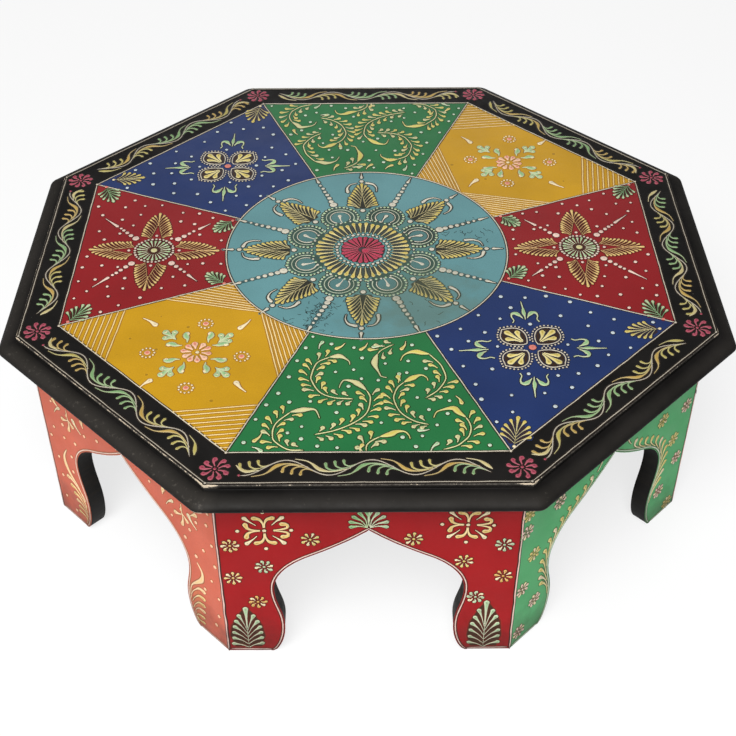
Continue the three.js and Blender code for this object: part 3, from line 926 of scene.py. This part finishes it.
# Where each vine of a green sector runs, from its thin end, and the swollen leaf that goes on from it
VINES = [
    (
        [
            (-42.6, 192.7), (-50, 190), (-54.2, 186.3), (-57.6, 182), (-59.2, 175.5), (-58.4, 170.2),
            (-56.5, 166),
        ],
        [(-52.6, 162), (-49.8, 158.5), (-43, 160), (-39.8, 162), (-38.1, 166.3)],
    ),
    (
        [(1.3, 193.8), (0.8, 188.6), (-3.1, 184.4), (-7, 182)],
        [(-12.6, 180.2), (-16.4, 178), (-20.9, 178), (-23.1, 180.8), (-23.9, 183.8)],
    ),
    (
        [
            (-34.8, 172.2), (-26.4, 169), (-18.7, 161.3), (-15.3, 150.8), (-15.9, 145.2), (-18, 139.7),
            (-22, 135.2),
        ],
        [(-27.6, 131.3), (-32, 129.1), (-35.3, 131.3), (-36, 134)],
    ),
    (
        [(30.5, 180), (19, 176.6), (8, 170.2), (0.8, 162), (-1.4, 150.8), (-0.6, 145.8), (1.3, 142)],
        [(4.7, 138), (8.6, 134.7), (14, 133.3), (16.1, 136.3), (17.1, 140)],
    ),
    (
        [(37, 192.7), (45.8, 192), (53.6, 185.2), (54.9, 180.2), (54.7, 174.7), (52.4, 169), (45.2, 161)],
        [(40, 159.7), (36.3, 159), (31.3, 159), (29.4, 162.4), (28.3, 166.3)],
    ),
    (
        [
            (-34.2, 149.4), (-41.4, 143), (-46.4, 134), (-46.7, 129), (-45.6, 124), (-43.7, 118.6),
            (-37.6, 109.7),
        ],
        [(-33, 108.6), (-30, 107.5), (-26, 108), (-22, 110.8), (-20, 115.8)],
    ),
    (
        [(9, 150), (20.2, 148.8), (28.6, 144), (33.6, 134), (34, 128.6), (30.8, 117.4), (23, 112)],
        [(20, 111.6), (17, 111.3), (13.6, 113.6), (11.3, 116.3), (10.9, 119)],
    ),
    (
        [(-16, 100.5), (-12, 103), (-8, 106.3), (-6, 109.7)],
        [(-4.8, 113.6), (-4.2, 119), (-7, 127.4), (-8, 130), (-11.2, 131.3)],
    ),
]


def draw_vine(c, stem, leaf):
    """A curling stem with drops on both sides that lean towards the swollen leaf at its end."""
    path = spline(stem, 1.8)
    c.line(path, 0.8, STEM)
    c.brush([stem[-1], *leaf], (0.9, 3.2, 4.2, 2.4, 1.0, 0.7, 0.5), random.choice((VINE, STRAW, VINE)))
    length = measured(path)
    tangent = unit(np.gradient(path, axis=0))
    inner_side = 1 if (leftward(tangent[:-1]) * tangent[1:]).sum() > 0 else -1
    # Each side: its start along the stem, spacing, leaf length, gap to the stem and lean from it
    rows = ((-inner_side, 0.5, 4.7, 5.2, 2.2, 48), (inner_side, 3.0, 7.0, 4.6, 2.6, 40))
    for side, s, spacing, reach, gap, lean in rows:
        k = 0
        while s < length[-1] - 1:
            place, heading = ([np.interp(s, length, v) for v in values.T] for values in (path, tangent))
            heading = np.array(heading)
            left = leftward(heading) * side
            angle = radians(lean + uniform(-6, 6))
            grown = reach * min(1, 0.6 + 1.2 * s / length[-1]) * uniform(0.9, 1.08)
            tail = place + left * gap * uniform(0.7, 1.2)
            head = tail + (heading * cos(angle) + left * sin(angle)) * grown
            if c.fits(head, 2.6):
                tint = STRAW if k < 2 or k % 6 == 5 else VINE
                c.drop(tail, head, 3.15 * uniform(0.9, 1.08), tint, -side * 0.2, 2.6)
            s += spacing * uniform(0.9, 1.1)
            k += 1


def draw_green(c):
    """Curling vines that fill a green sector, with loose drops where it is narrow."""
    for stem, leaf in VINES:
        draw_vine(c, stem, leaf)
    loose = (
        (-35.3, 193.8, -39.2, 188, SAGE), (-35, 176.4, -29.5, 177, SAGE), (4.7, 194, 3.6, 189, GOLD),
        (-23.7, 97.5, -21, 104.7, GOLD), (-9.2, 101, -3.7, 102.7, SAGE), (-19.5, 134, -18.9, 128, SAGE),
        (61, 178, 65, 185, GOLD), (66, 190, 61, 193, SAGE), (14, 99, 19, 104, GOLD),
        (0, 99, 4, 105, GOLD), (30, 104, 28, 98, SAGE), (-52, 148, -55, 154, GOLD),
    )
    for *ends, tint in loose:
        c.drop(ends[:2], ends[2:], 2.6, tint, 0.2)


def palmette(c):
    """An onion-shaped leaf of beads round three drops on a dark stain, standing on its point."""
    half = [(0.5, 0.4), (3.4, 2.7), (6.4, 6.2), (8.0, 10.4), (7.5, 14.2), (5.2, 17.2), (2.2, 19), (0, 20.4)]
    outline = spline(half, 1.5)
    outline = np.vstack([outline, outline[-2:0:-1] * (-1, 1)])
    c.patch(outline, UMBER, 1.6)
    c.line(outline, 0.7, IVORY, closed=True)
    middle = np.array([0, 11.0])
    for bead in resample(np.vstack([outline, outline[:1]]), 2.0)[:-1]:
        spread = (bead - middle) * 1.22 + middle
        if spread[1] > 0.4:
            c.dot(*spread, 0.66 * uniform(0.9, 1.1), IVORY, 7)
    c.drop((0, 3.5), (0, 15.8), 4.2, GOLD)
    for side in (-1, 1):
        c.drop((side * 0.9, 4.0), (side * 4.4, 11.4), 3.8, GOLD, side * 0.16)


def lily(c):
    """A green spike between two leaves that curl over and back."""
    spike = [(0, 0), (0.2, 3.6), (0, 8.6), (0.2, 12.6), (0, 20.5)]
    c.brush(spike, (0.6, 0.9, 3.0, 2.4, 1.0, 0.8, 0.5), FERN)
    c.dot(0, 8.6, 0.8, LEAF, 7)
    for side in (-1, 1):
        curl = [(1.6, 1.4), (3.6, 4.8), (6.2, 7.4), (8.9, 6.6), (9.4, 3.0), (8.4, -0.6), (9.6, -3.2)]
        c.brush([(side * x, y) for x, y in curl], (0.5, 1.5, 4.0, 2.6, 1.2, 0.9, 0.8, 0.9), FERN)
        c.dot(side * 5.6, 6.6, 0.8, LEAF, 7)


def draw_blue(c):
    """Four beaded leaves, green lilies between them and a yellow spray in each outer corner."""
    middle = c.at(1.6, 145.5)
    for quarter in range(4):
        facing = quarter * QUARTER
        palmette(middle.outward(4.4, facing, 0.06))
        lily(middle.outward(27.5, facing + radians(45 + uniform(-4, 4)), size=0.88))
    middle.dot(0, 0, 2.5, CORAL)
    for base, tip in (((-68, 190.5), (-50.5, 177)), ((76, 193), (55.5, 179))):
        spray, length = c.from_to(base, tip)
        stain = [(-3, 2), (3, 2), (7.4, 9), (5, 16), (0, length - 2), (-5, 16), (-7.4, 9)]
        spray.patch(stain, UMBER, 1.0, 0.9)
        palm(spray, length, length * 0.33, PLUME, BLUE_SPRAY)
        spray.dot(0, -0.5, 1.1, CREAM)


def draw_red(c):
    """A star of four feathers round a beaded flower, beaded rays between and green corner sprays."""
    middle = c.at(-0.6, 143.8)
    middle.patch(arc(12, 0, 345, 3), srgb(26, 34, 22), 1.6, 0.9)
    petals(middle, 22, 4.6, 11.4, 1.8, [FERN, SAGE], swell=2.0)
    middle.dot(0, 0, 2.3, STRAW)
    bead_ring(middle, 13.0, 32, 0.9, [IVORY, SHELL, IVORY])
    for quarter in range(4):
        turn = quarter * QUARTER
        star = middle.outward(13.8, turn + QUARTER, 0.06)
        for side in (-1, 1):
            half = [(4.8, 0.8), (9.2, 3.4), (9.4, 9), (7.4, 18), (1, 29), (0.3, 17), (2.6, 8)]
            star.patch([(side * x, y) for x, y in half[::side]], srgb(62, 22, 12), 0.9, 0.9)
        palm(star, 30.5, 9.6, FEATHER, STAR_LEAF)
        star.dot(0, 3.2, 1.1, SHELL)
        ray = middle.at(turn=turn + radians(45 + uniform(-4, 4)))
        beads, spike = (5, (40.5, 53.5)) if quarter in (0, 3) else (4, (38, 47))
        places = (19.8, 24.8, 29.3, 33.2, 36.4)[:beads]
        beads_and_spike(ray, places, (2.3, 1.7, 1.4, 1.25, 1.1), spike, SHELL)
    for base, tip in (
        ((-76, 189), (-59, 178)), ((76.5, 187), (57.5, 179)),
        ((-37, 94), (-26, 106)), ((33.5, 93.5), (20.5, 105)),
    ):
        spray, length = c.from_to(base, tip)
        spray.patch([(-3, 3), (3, 3), (6, 11), (0, length - 3), (-6, 11)], srgb(30, 34, 22), 1.0, 0.9)
        palm(spray, length, length * 0.33, SPRAY, RED_SPRAY)
        spray.dot(0, -0.6, 1.2, CORAL)


def trefoil(c):
    """A plump three-lobed leaf in green with pale heads."""
    c.drop((0, -6.4), (0, 3.2), 4.6, FERN)
    c.dot(0, 3.4, 1.5, CREAM)
    for side in (-1, 1):
        c.drop((0, -6.2), (side * 3.7, -0.9), 4.2, FERN, side * 0.3)
        c.dot(side * 3.9, -0.7, 1.3, CREAM)


def bud(c):
    """A green comma with a pale head and a thin curled tail."""
    points = [(-3.4, 2.6), (-1.6, 2.9), (0.2, 0.8), (1.4, -2.2), (3.6, -4.2)]
    c.brush(points, (0.6, 3.0, 4.2, 3.4, 1.2, 0.6), FERN)
    c.dot(-1.9, 1.9, 1.5, CREAM)


def draw_yellow(c):
    """A flower in a ring of green leaves, pale drops, ringed dots, and hatched corners."""
    middle = c.at(-1, 150)
    petals(middle, 10, 3.4, 9.6, 3.9, [SALMON, SALMON, BLUSH])
    middle.dot(-0.6, -0.4, 1.3, CREAM)
    for x, y, turn in ((-2, 175, 0), (24, 151, -90), (-27, 151, 90), (-3.5, 128, 180)):
        trefoil(c.at(x, y, radians(turn)))
    for quarter in range(4):
        for side in (-1, 1):
            bud(middle.at(turn=quarter * QUARTER).at(side * 5.6, 15.6, mirror=-side))
    for tail, head in (
        ((-1.8, 194), (-1.5, 186.5)), ((48.5, 152.2), (38, 151)),
        ((-50, 152.6), (-40, 151.3)), ((-1, 105.5), (-2.6, 115.5)),
    ):
        c.drop(tail, head, 3.6, CREAM, 0.1)
    for x, y in ((-22, 175.5), (20, 171.5), (-24, 133.2), (16, 128)):
        c.dot(x, y, 2.0, SALMON)
        bead_ring(c.at(x, y), 4.3, 11, 0.75, [CREAM])
    hatch(c)


def hatch(c):
    """Slanting lines across the four corners of a yellow sector, from its chamfer into the corner."""
    edge = tan(HALF_TURN)
    outer = BAND_APOTHEM - 0.6
    corner_x = outer * edge
    chamfer_x, chamfer_drop, chamfer_run, lines = 33.0, 39.0, 46.0, 10
    for side in (-1, 1):
        disc_corner = polar(DISC_RADIUS, QUARTER - side * HALF_TURN)
        for k in range(1, lines + 1):
            share = k / lines
            start = (side * (corner_x - (corner_x - chamfer_x) * share), outer)
            low = outer - chamfer_drop * share
            c.line(unsteady(start, (side * low * edge, low)), 0.75, BUFF, 0.4)
            c.dot(*start, 0.7, BUFF, 7)
            start = disc_corner * (1 + chamfer_run * share / DISC_RADIUS)
            end = polar(DISC_RADIUS + 0.6, QUARTER - side * HALF_TURN * (1 - share))
            c.line(unsteady(start, end), 0.75, BUFF, 0.4)
    for _ in range(7):
        centre = uniform(-45, 45), uniform(112, 188)
        c.patch(arc(uniform(0.4, 1.1), 0, 300, 0.7, centre), UMBER, 0.8, 0.5)


def draw_disc(c):
    """A beaded flower, a ring of drops, eight ringed lobes, eight feathers and eight beaded rays."""
    c = c.at(-2.6, -1.0)
    for radius, colour, fade, strength in (
        (46, srgb(62, 96, 78), 9.0, 0.62), (31.5, UMBER, 1.6, 0.9), (20.5, srgb(96, 148, 146), 1.6, 0.9),
        (15, srgb(58, 18, 28), 1.5, 0.9),
    ):
        c.patch(arc(radius, 0, 352, 5), colour, fade, strength)
    petals(c, 22, 3.4, 14.8, 3.1, [PINK])
    c.dot(1.6, -1.2, 2.6, PINK)
    bead_ring(c, 17.6, 32, 1.15, [BEAD])
    petals(c, 42, 20, 31.6, 3.1, [PLUME, GOLD, PLUME], swell=2.6)
    bead_ring(c, 34.4, 62, 0.85, [BEAD, SAGE])
    for k in range(SIDES):
        draw_lobe(c, HALF_TURN + k * TURN)
        draw_plume(c, k * TURN)
    draw_cracks(c)


def draw_lobe(c, facing):
    """A drop inside two open rings and a ring of beads, with a beaded ray beyond."""
    lobe = c.outward(41, facing, 0.1)
    lobe.patch(arc(11.4, 0, 340, 3), srgb(44, 62, 46), 2.6, 0.9)
    lobe.patch(arc(6.2, 0, 340, 3), srgb(74, 112, 110), 1.0, 0.9)
    bead_ring(lobe, 12.6, 21, 0.95, [SAGE, ASH, SAGE], -40, 260)
    lobe.comma(arc(9.7, 224, -40, 3), 0.95, ASH, 0.6, 6)
    lobe.comma(arc(7.0, -44, 228, 2.4), 1.05, BEAD, 0.55, 6)
    lobe.comma([(-0.8, -6.4), (-0.6, -2), (0.2, 1.8)], 2.8, BEAD, 0.22, 3.2)
    ray = c.outward(0, facing, 0.03)
    ray.patch([(-2.2, 54), (2.2, 54), (1.3, 88), (-1.3, 88)], srgb(34, 50, 48), 1.4, 0.8)
    places = [57.6 + 4.4 * step for step in range(7)]
    beads_and_spike(ray, places, (2.7, 1.95, 1.75, 1.6, 1.4, 1.25, 1.05), (88.5, 94.5), BEAD)


def draw_plume(c, facing):
    """A feather on a dark stain, with a bead at its foot and two hooks and a bead beyond its tip."""
    c.dot(*polar(46.5, facing), 1.8, BEAD)
    plume = c.outward(49.4, facing, 0.04)
    stain = [(-5, 0), (5, 0), (9, 7), (6.8, 18), (0, 28), (-6.8, 18), (-9, 7)]
    plume.patch(stain, srgb(36, 28, 12), 1.4, 0.97)
    palm(plume, 31.5, 9.8, PLUME, PLUME_LEAF)
    plume.dot(0, 34.2, 1.6, BEAD)
    plume.drop((0, 45), (0, 39), 2.2, BEAD)
    for side in (-1, 1):
        hook = [(side * 10.2, 20.8), (side * 10.5, 25.6), (side * 8.2, 30.2), (side * 3.8, 31.9)]
        plume.comma(hook[::side], 2.4, BEAD, 0.16, 1.6)


def draw_cracks(c):
    """Dark hair cracks where the disc's paint has rubbed, densest beside one ray."""
    fine = c.at()
    fine.foot = fine.halo = 0.08
    for k in range(130):
        around = random.gauss(247.5, 4.5) if k % 4 else random.choice((300, 20, 12)) + uniform(-7, 7)
        crack = [polar(uniform(58, 92), radians(around))]
        heading = uniform(0, 2 * pi)
        for _ in range(random.randint(2, 6)):
            heading += uniform(-0.8, 0.8)
            crack.append(crack[-1] + polar(uniform(0.5, 1.3), heading))
        fine.stroke(crack, np.linspace(0.34, 0.1, len(crack)), CRACK, 0.03)


# One bend of the border's vine, from its lowest point: three thin drops and a long leaf, all springing from
# the falling side of the strand. The bends under a crest are the same, turned over.
BEND_DROPS = (
    ((-15.5, 8.6), (-11.5, 7.0), (-8.8, 8.2), (-8.2, 11)),
    ((-15, 8), (-8, 5.3), (-4, 6.8), (-3.2, 10.2)),
    ((-14, 7.5), (-4, 3.8), (1, 5.3), (2, 8.8)),
)
BEND_LEAF = ((-12, 5.3), (-2, 2.8), (5, 4.3), (9.5, 8.8), (13, 11.2), (19, 12.6))
END_LEAF = ((-9, 4), (-3, 3), (1, 4.6), (4, 8))
# The tints of the drops and of the leaf in each bend, on every other side of the border
WARM = (
    (BLADE, OCHRE), (OLIVE, OCHRE), (BLADE, BLADE), (BLADE, PALE),
    (OCHRE, OCHRE), (OLIVE, PALE), (BLADE, PALE),
)
COOL = (
    (OLIVE, OCHRE), (OLIVE, OCHRE), (BLADE, BLADE), (BLADE, BLADE),
    (OCHRE, OLIVE), (OCHRE, PALE), (OLIVE, OLIVE),
)


def draw_band_side(c, tints):
    """A waving strand along one side of the black border, with drops and a long leaf in each bend."""
    half_wave, middle, sway, first = 24.0, 206.4, 5.9, -50.0

    def strand(x):
        return (x, middle - sway * cos(pi * (x - first) / half_wave))

    c.line([strand(x) for x in np.arange(-68, 72, 2.4)], 0.7, LINE)
    c.dot(*strand(72), 0.8, DUSTY)
    for k in range(-1, 6):
        x, y = strand(first + half_wave * k)
        up = 1 if k % 2 == 0 else -1
        drop_tint, leaf_tint = tints[k]
        if k < 0:
            leaf, widths = BEND_LEAF[2:], (0.6, 2.5, 2.1, 0.8, 0.6, 0.4)
        elif k < 5:
            leaf, widths = BEND_LEAF, (0.4, 0.6, 0.7, 1.0, 2.6, 2.1, 0.8, 0.6, 0.4)
        else:
            leaf, widths = END_LEAF, (0.5, 1, 2.4, 1.8, 0.5)
        for points in BEND_DROPS if k >= 0 else ():
            c.comma([(x + u, y + up * v) for u, v in points], 2.0, drop_tint, 0.28, 3.2)
        c.brush([(x + u, y + up * v) for u, v in leaf], widths, leaf_tint)


def draw_rosette(c):
    petals(c, 9, 2.2, 8.8, 3.2, [DUSTY], 0.14, uniform(0, 40), 2.4)
    c.dot(0, 0, 1.0, DUSTY)


def medallion(c):
    """A cross of curled stems with a drop between each pair."""
    c.dot(0, 0, 1.2, CREAM)
    open_curl = ((0.3, 2.6), (0.6, 6.4), (2.2, 9.6), (5.2, 10.6))
    hooked = ((0.3, 5.5), (0.8, 9.5), (2.2, 13.4), (4.9, 13.2), (5.4, 10.6))
    for quarter in range(4):
        arm = c.at(turn=quarter * QUARTER)
        for side in (-1, 1):
            curl = hooked if quarter == 3 else open_curl
            arm.comma([(side * x, y) for x, y in curl], 3.2, TAN, 0.24, 2.0)
        c.at(turn=radians(45 + 90 * quarter)).drop((0, 6.6), (0, 15.2), 2.9, CREAM, 0.06, 2.4)
        c.dot(*polar(15.5, quarter * QUARTER), 1.2, CREAM)


def foot_palm(c, length):
    """A pale green palm leaf on a dark stain, standing on a foot."""
    half = [(8, 1.5), (10.4, 12), (9, length * 0.55), (4.4, length * 0.82), (0, length)]
    c.patch(half + [(-x, y) for x, y in half[-2::-1]], srgb(46, 40, 22), 1.8, 0.95)
    palm(c, length, 8.8, SAGE, FOOT_LEAF)


def draw_flowered(c):
    """The red boards: medallions, florets, a fan at the apex and a palm on each foot."""
    medallion(c.at(-60.2, 113, 0.02))
    medallion(c.at(57, 117, -0.04, 0.96))
    for x, y, tint in (
        (-81, 100, TAN), (-34, 105, GOLD), (-62, 81, SAGE), (-81, 71, TAN), (-67.5, 48.6, AMBER),
        (26, 105, GOLD), (79, 99.5, SAGE), (56, 85, GOLD), (80, 71.5, AMBER), (64.4, 52, SAGE),
    ):
        floret(c, x, y, tint)
    for side, tint in ((-1, LEAF), (1, SAGE)):
        for angle, reach in ((4, 16), (19, 15.6), (36, 14.4), (54, 12.6), (72, 10.6)):
            head = polar(reach, QUARTER - side * radians(angle)) + (0, 112.5)
            c.drop((side * 0.9, 115), head, 2.7, tint, side * 0.2, 3.0)
    foot_palm(c.at(-75.6, 3.6), 40)
    foot_palm(c.at(71.6, 3), 45.5)


# The swollen stroke on each leg of a coral board, and the heads of the drops below it
LEG_STROKES = (
    [(-67.6, 70), (-72, 61.5), (-71.8, 53), (-68.3, 46), (-62, 39), (-58, 30), (-56.4, 22)],
    [(66.6, 67), (70.4, 60.5), (68.9, 52.4), (63.9, 46.3), (57.8, 39), (54.4, 31), (52.4, 24)],
)
LEG_HEADS = (
    [(-72.2, 41.6), (-69.8, 34.8), (-67.6, 28.6), (-66.2, 22.8), (-65, 17.4), (-66, 12)],
    [(69.4, 41.6), (68.3, 33.6), (67.6, 26.3), (67, 20), (66, 13), (65.4, 7.4)],
)
# The drops of the swirl above each leg: tail, head, width and tint
SWIRL = (
    ((0, 9), (-0.6, 4), 2.0, HONEY), ((0, 3), (-0.8, -8.6), 2.9, HONEY),
    ((0.4, 0.6), (-6.2, -2.2), 3.2, HONEY), ((0, 1), (4.4, -2.6), 3.0, HONEY),
    ((-15, -1.6), (-8.6, 5.4), 2.6, CREAM), ((13, -3.4), (6.6, 4.2), 3.4, CREAM),
)


def draw_feathered(c):
    """The coral boards: a swollen stroke and a column of drops on each leg, and a swirl above it."""
    edge_x, edge_y = right_arch(3.0).T

    def off_arch(x, y):
        """A point drawn sideways onto the wood where it would lie too near the arch."""
        return (copysign(max(abs(x), np.interp(y, edge_y, edge_x)), x), y)

    for side, stroke, heads in zip((-1, 1), LEG_STROKES, LEG_HEADS):
        c.brush([off_arch(x, y) for x, y in stroke], (0.5, 1.8, 3.6, 2.4, 1.0, 0.6, 0.5), HONEY)
        stain = [(60, 6), (64, 10), (65, 24), (64, 38), (60, 34), (57, 20)]
        c.patch([(side * x, y) for x, y in stain], srgb(178, 120, 60), 2.0, 0.4)
        for k, (x, y) in enumerate(heads):
            low = max(y - 13 + k, 4)
            tail = [off_arch(side * 56, low), off_arch(side * 58.4, low + 5)]
            head = [(x - side * 4.6, y - 0.6), (x, y)]
            c.comma(tail + head, 3.7 - 0.24 * k, TAN if k % 3 else HONEY, 0.16, 3.4)
        swirl = c.at(side * 57.5, 103)
        for tail, head, width, tint in SWIRL:
            swirl.drop(tail, head, width, tint, 0.15, 2.2)
        c.drop((side * 4.5, 113.6), (side * 9.6, 119), 2.4, CREAM, side * 0.2)
        c.drop((side * 1.2, 114), (side * 2.6, 124), 2.4, HONEY, side * 0.1)
        c.drop((side * 66, 108.4), (side * 71, 112.6), 3.4, HONEY, 0.1)
        c.drop((side * 40, 108), (side * 41, 112.5), 3.4, HONEY, 0.1)


def draw_garlanded(c, garland, flower):
    """The green and blue boards: hooked drops along the arch, their tails running down it, and florets."""
    rows = [resample(right_arch(inset)[::-1], 1.0) for inset in (2.4, 3.4, 5.4, 8.2)]
    for side in (-1, 1):
        for k in range(12):
            s = int(26 + 7.8 * k)
            curve = [row[s + ahead] for row, ahead in zip(rows, (9, 3, 0, 1))]
            c.comma([(side * x, y) for x, y in curve], 3.4, garland if k % 5 else CREAM, 0.16, 5.0)
        c.brush([(side * 13, 117), (side * 14, 112.5), (side * 17, 108)], (1.6, 0.8, 0.5), CREAM)
    for x, y, tint in (
        (-83.5, 106, flower), (-53.5, 109, flower), (-82, 53, flower), (-68, 31, flower), (-81, 11, flower),
        (79.5, 99, flower), (80, 51, flower), (65, 29, flower), (-74, 79, GOLD), (52.5, 103.5, GOLD),
        (71, 74, GOLD), (80, 7, GOLD), (-83, 121, GOLD), (84, 124, flower),
    ):
        c.patch(arc(3.8, 0, 330, 2, (x, y)), GOLD[0] * 0.5 if tint is GOLD else ROSE, 1.7, 0.9)
        floret(c, x, y, tint)


def top_corner(apothem, index):
    """Corner of an octagon on the top, number 0 being the one after +X going anticlockwise."""
    return polar(apothem / cos(HALF_TURN), HALF_TURN + index * TURN)


def sector_outline(index):
    """A sector between the border band and the disc, anticlockwise, in the top's own coordinates."""
    arc_points = [polar(DISC_RADIUS, index * TURN + a) for a in np.linspace(-HALF_TURN, HALF_TURN, 13)]
    return [top_corner(BAND_APOTHEM, index - 1), top_corner(BAND_APOTHEM, index), *arc_points[::-1]]


# Each kind of sector and board: its paint, what draws on it, its slot, the dark of its outlines, and its
# loose dots with their spacing, radius, tint and distance from the rest. A board also has its line's tint.
RED = (srgb(147, 28, 32), draw_red, "red_paint", srgb(58, 16, 14), (10.0, 1.1, SHELL, 3.8))
YELLOW = (srgb(209, 158, 24), draw_yellow, "yellow_paint", srgb(150, 104, 30), None)
GREEN = (srgb(38, 118, 66), draw_green, "green_paint", srgb(32, 48, 14), (9.2, 1.2, MINT, 3.8))
BLUE = (srgb(33, 54, 106), draw_blue, "blue_paint", srgb(24, 26, 44), (12.5, 1.25, FROST, 3.8))
RED_BOARD = (srgb(164, 22, 26), draw_flowered, "red_paint", srgb(70, 24, 12), None, PINKISH)
CORAL_BOARD = (
    srgb(218, 108, 82), draw_feathered, "coral_paint", srgb(150, 84, 48), (11, 1.25, PEACH, 4.0), SHELL,
)
GREEN_BOARD = (
    srgb(88, 182, 115), lambda c: draw_garlanded(c, GOLD, SHELL), "green_paint", srgb(60, 92, 44),
    None, MINT,
)
BLUE_BOARD = (
    srgb(46, 72, 130), lambda c: draw_garlanded(c, SAGE, CREAM), "blue_paint", srgb(24, 26, 44),
    (12, 0.9, FROST, 4.5), SHELL,
)
# The sides of the table, anticlockwise from +X
NAMES = ("right", "back_right", "back", "back_left", "left", "front_left", "front", "front_right")
SECTORS = (RED, YELLOW, GREEN, BLUE) * 2
BOARDS = (BLUE_BOARD, CORAL_BOARD, RED_BOARD, GREEN_BOARD) * 2


def top_ground(points):
    """The colour of the bare paint at each point of the top."""
    colours = []
    for x, y in points:
        angle, radius = atan2(y, x), hypot(x, y)
        index = round(angle / TURN) % SIDES
        if radius < DISC_RADIUS:
            colours.append(TURQUOISE_GROUND)
        else:
            on_band = radius * cos(angle - index * TURN) > BAND_APOTHEM
            colours.append(BLACK_GROUND if on_band else SECTORS[index][0])
    return np.array(colours)


def make_top_paint(material):
    for index, (name, (colour, draw, slot, smoke, dots)) in enumerate(zip(NAMES, SECTORS)):
        field = Field(name, sector_outline(index), on_top, colour, slot, smoke)
        draw(field.canvas.at(turn=index * TURN - QUARTER))
        if dots:
            field.scatter(*dots, 20 + index)
        field.build(material)

    outline = [polar(DISC_RADIUS, a) for a in np.linspace(0, 2 * pi, 97)[:-1]]
    dark = srgb(30, 28, 18)
    field = Field("disc", outline, on_top, TURQUOISE_GROUND, "turquoise_paint", dark, 0.85, 0.5)
    draw_disc(field.canvas)
    field.build(painted("hand_painted_disc", dulled=(0.034, -0.062, TABLE_HEIGHT * MM)))

    border = Canvas(on_border, lambda points: np.broadcast_to(BLACK_GROUND, (len(points), 3)))
    for index in range(SIDES):
        draw_band_side(border.at(turn=index * TURN - QUARTER), COOL if index % 2 else WARM)
        angle = HALF_TURN + index * TURN
        draw_rosette(border.at(*polar(ROSETTE_RADIUS, angle), angle))
    border.build("ornament_border", material)

    lines = Canvas(on_top, top_ground)
    for index in range(SIDES):
        for apothem, width, tint in ((RIM_APOTHEM - RIM_LINE_INSET, 0.55, LINE), (BAND_APOTHEM, 0.6, IVORY)):
            start, end = top_corner(apothem, index), top_corner(apothem, index + 1)
            lines.line(unsteady(start, end), width, tint)
            lines.dot(*start, width * 1.4, tint)
        spoke = unsteady(polar(DISC_RADIUS, HALF_TURN + index * TURN), top_corner(BAND_APOTHEM, index))
        lines.line(spoke, 0.65, IVORY)
    lines.line(arc(DISC_RADIUS, 0, 360, 2.4)[:-1], 0.75, IVORY, closed=True)
    lines.build("ornament_lines", material)


def make_sides(material, edge_material):
    """The eight boards, each with its coat of paint and its ornament, and the lines on the arrises."""
    foot, roof = BOARD_ARRIS, UNDERSIDE - COAT_GAP
    corners = [(-HALF_SIDE, foot), (-HALF_SIDE, roof), (HALF_SIDE, roof), (HALF_SIDE, foot)]
    outline = np.vstack([corners, board_outline(BOARD_ARRIS)])[::-1]
    for index, (name, (colour, draw, slot, smoke, dots, line)) in enumerate(zip(NAMES, BOARDS)):
        make_board(index, name, edge_material)
        field = Field(f"{name}_board", outline, on_board(index), colour, slot, smoke)
        field.canvas.line(resample(board_outline(ARCH_LINE_INSET), 2.4), 0.75, line)
        for side in (-1, 1):
            toe, corner = side * (HALF_SIDE - LEG_TOE + 1.6), side * (HALF_SIDE - 1.8)
            foot_line = unsteady((toe, FOOT_LINE_HEIGHT), (corner, FOOT_LINE_HEIGHT * 1.2))
            field.canvas.line(foot_line, 0.8, line)
        draw(field.canvas)
        if dots:
            field.scatter(*dots, 60 + index)
        field.build(material)
    for index, name in enumerate(NAMES):
        draw_corner(index, name, material)


def draw_corner(index, name, material):
    """The pale line on the upright arris between a board and the next."""
    colour, beyond = BOARDS[index][0], BOARDS[(index + 1) % SIDES][0]

    def ground(points):
        return np.where(points[:, :1] > 0, beyond, colour) * 0.8

    reach = (RING_APOTHEM + COAT) / cos(HALF_TURN)
    corner = Canvas(on_upright(index * TURN + HALF_TURN, reach, tan(HALF_TURN)), ground)
    corner.line(unsteady((0, 1.5), (0, UNDERSIDE - 2 * COAT_GAP), 9, 0.3), 0.85, PINKISH)
    corner.build(f"corner_line_{name}", material)


def finish_hidden_parts():
    """Materials for the blocks and screws that show only from below."""
    wood, steel = bare_wood(), screw_steel()
    for name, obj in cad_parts.items():
        material = steel if "screw" in name else wood if "block" in name else None
        if material:
            obj.data.materials.clear()
            obj.data.materials.append(material)


bpy.context.scene.view_settings.view_transform = "Standard"
make_camera()
make_studio()
edges = thin_black()
make_top(black_lacquer(), edges)
make_sides(painted("hand_painted_boards", 0.4, 0.46, 0.1, 0.5), edges)
make_top_paint(painted("hand_painted"))
finish_hidden_parts()
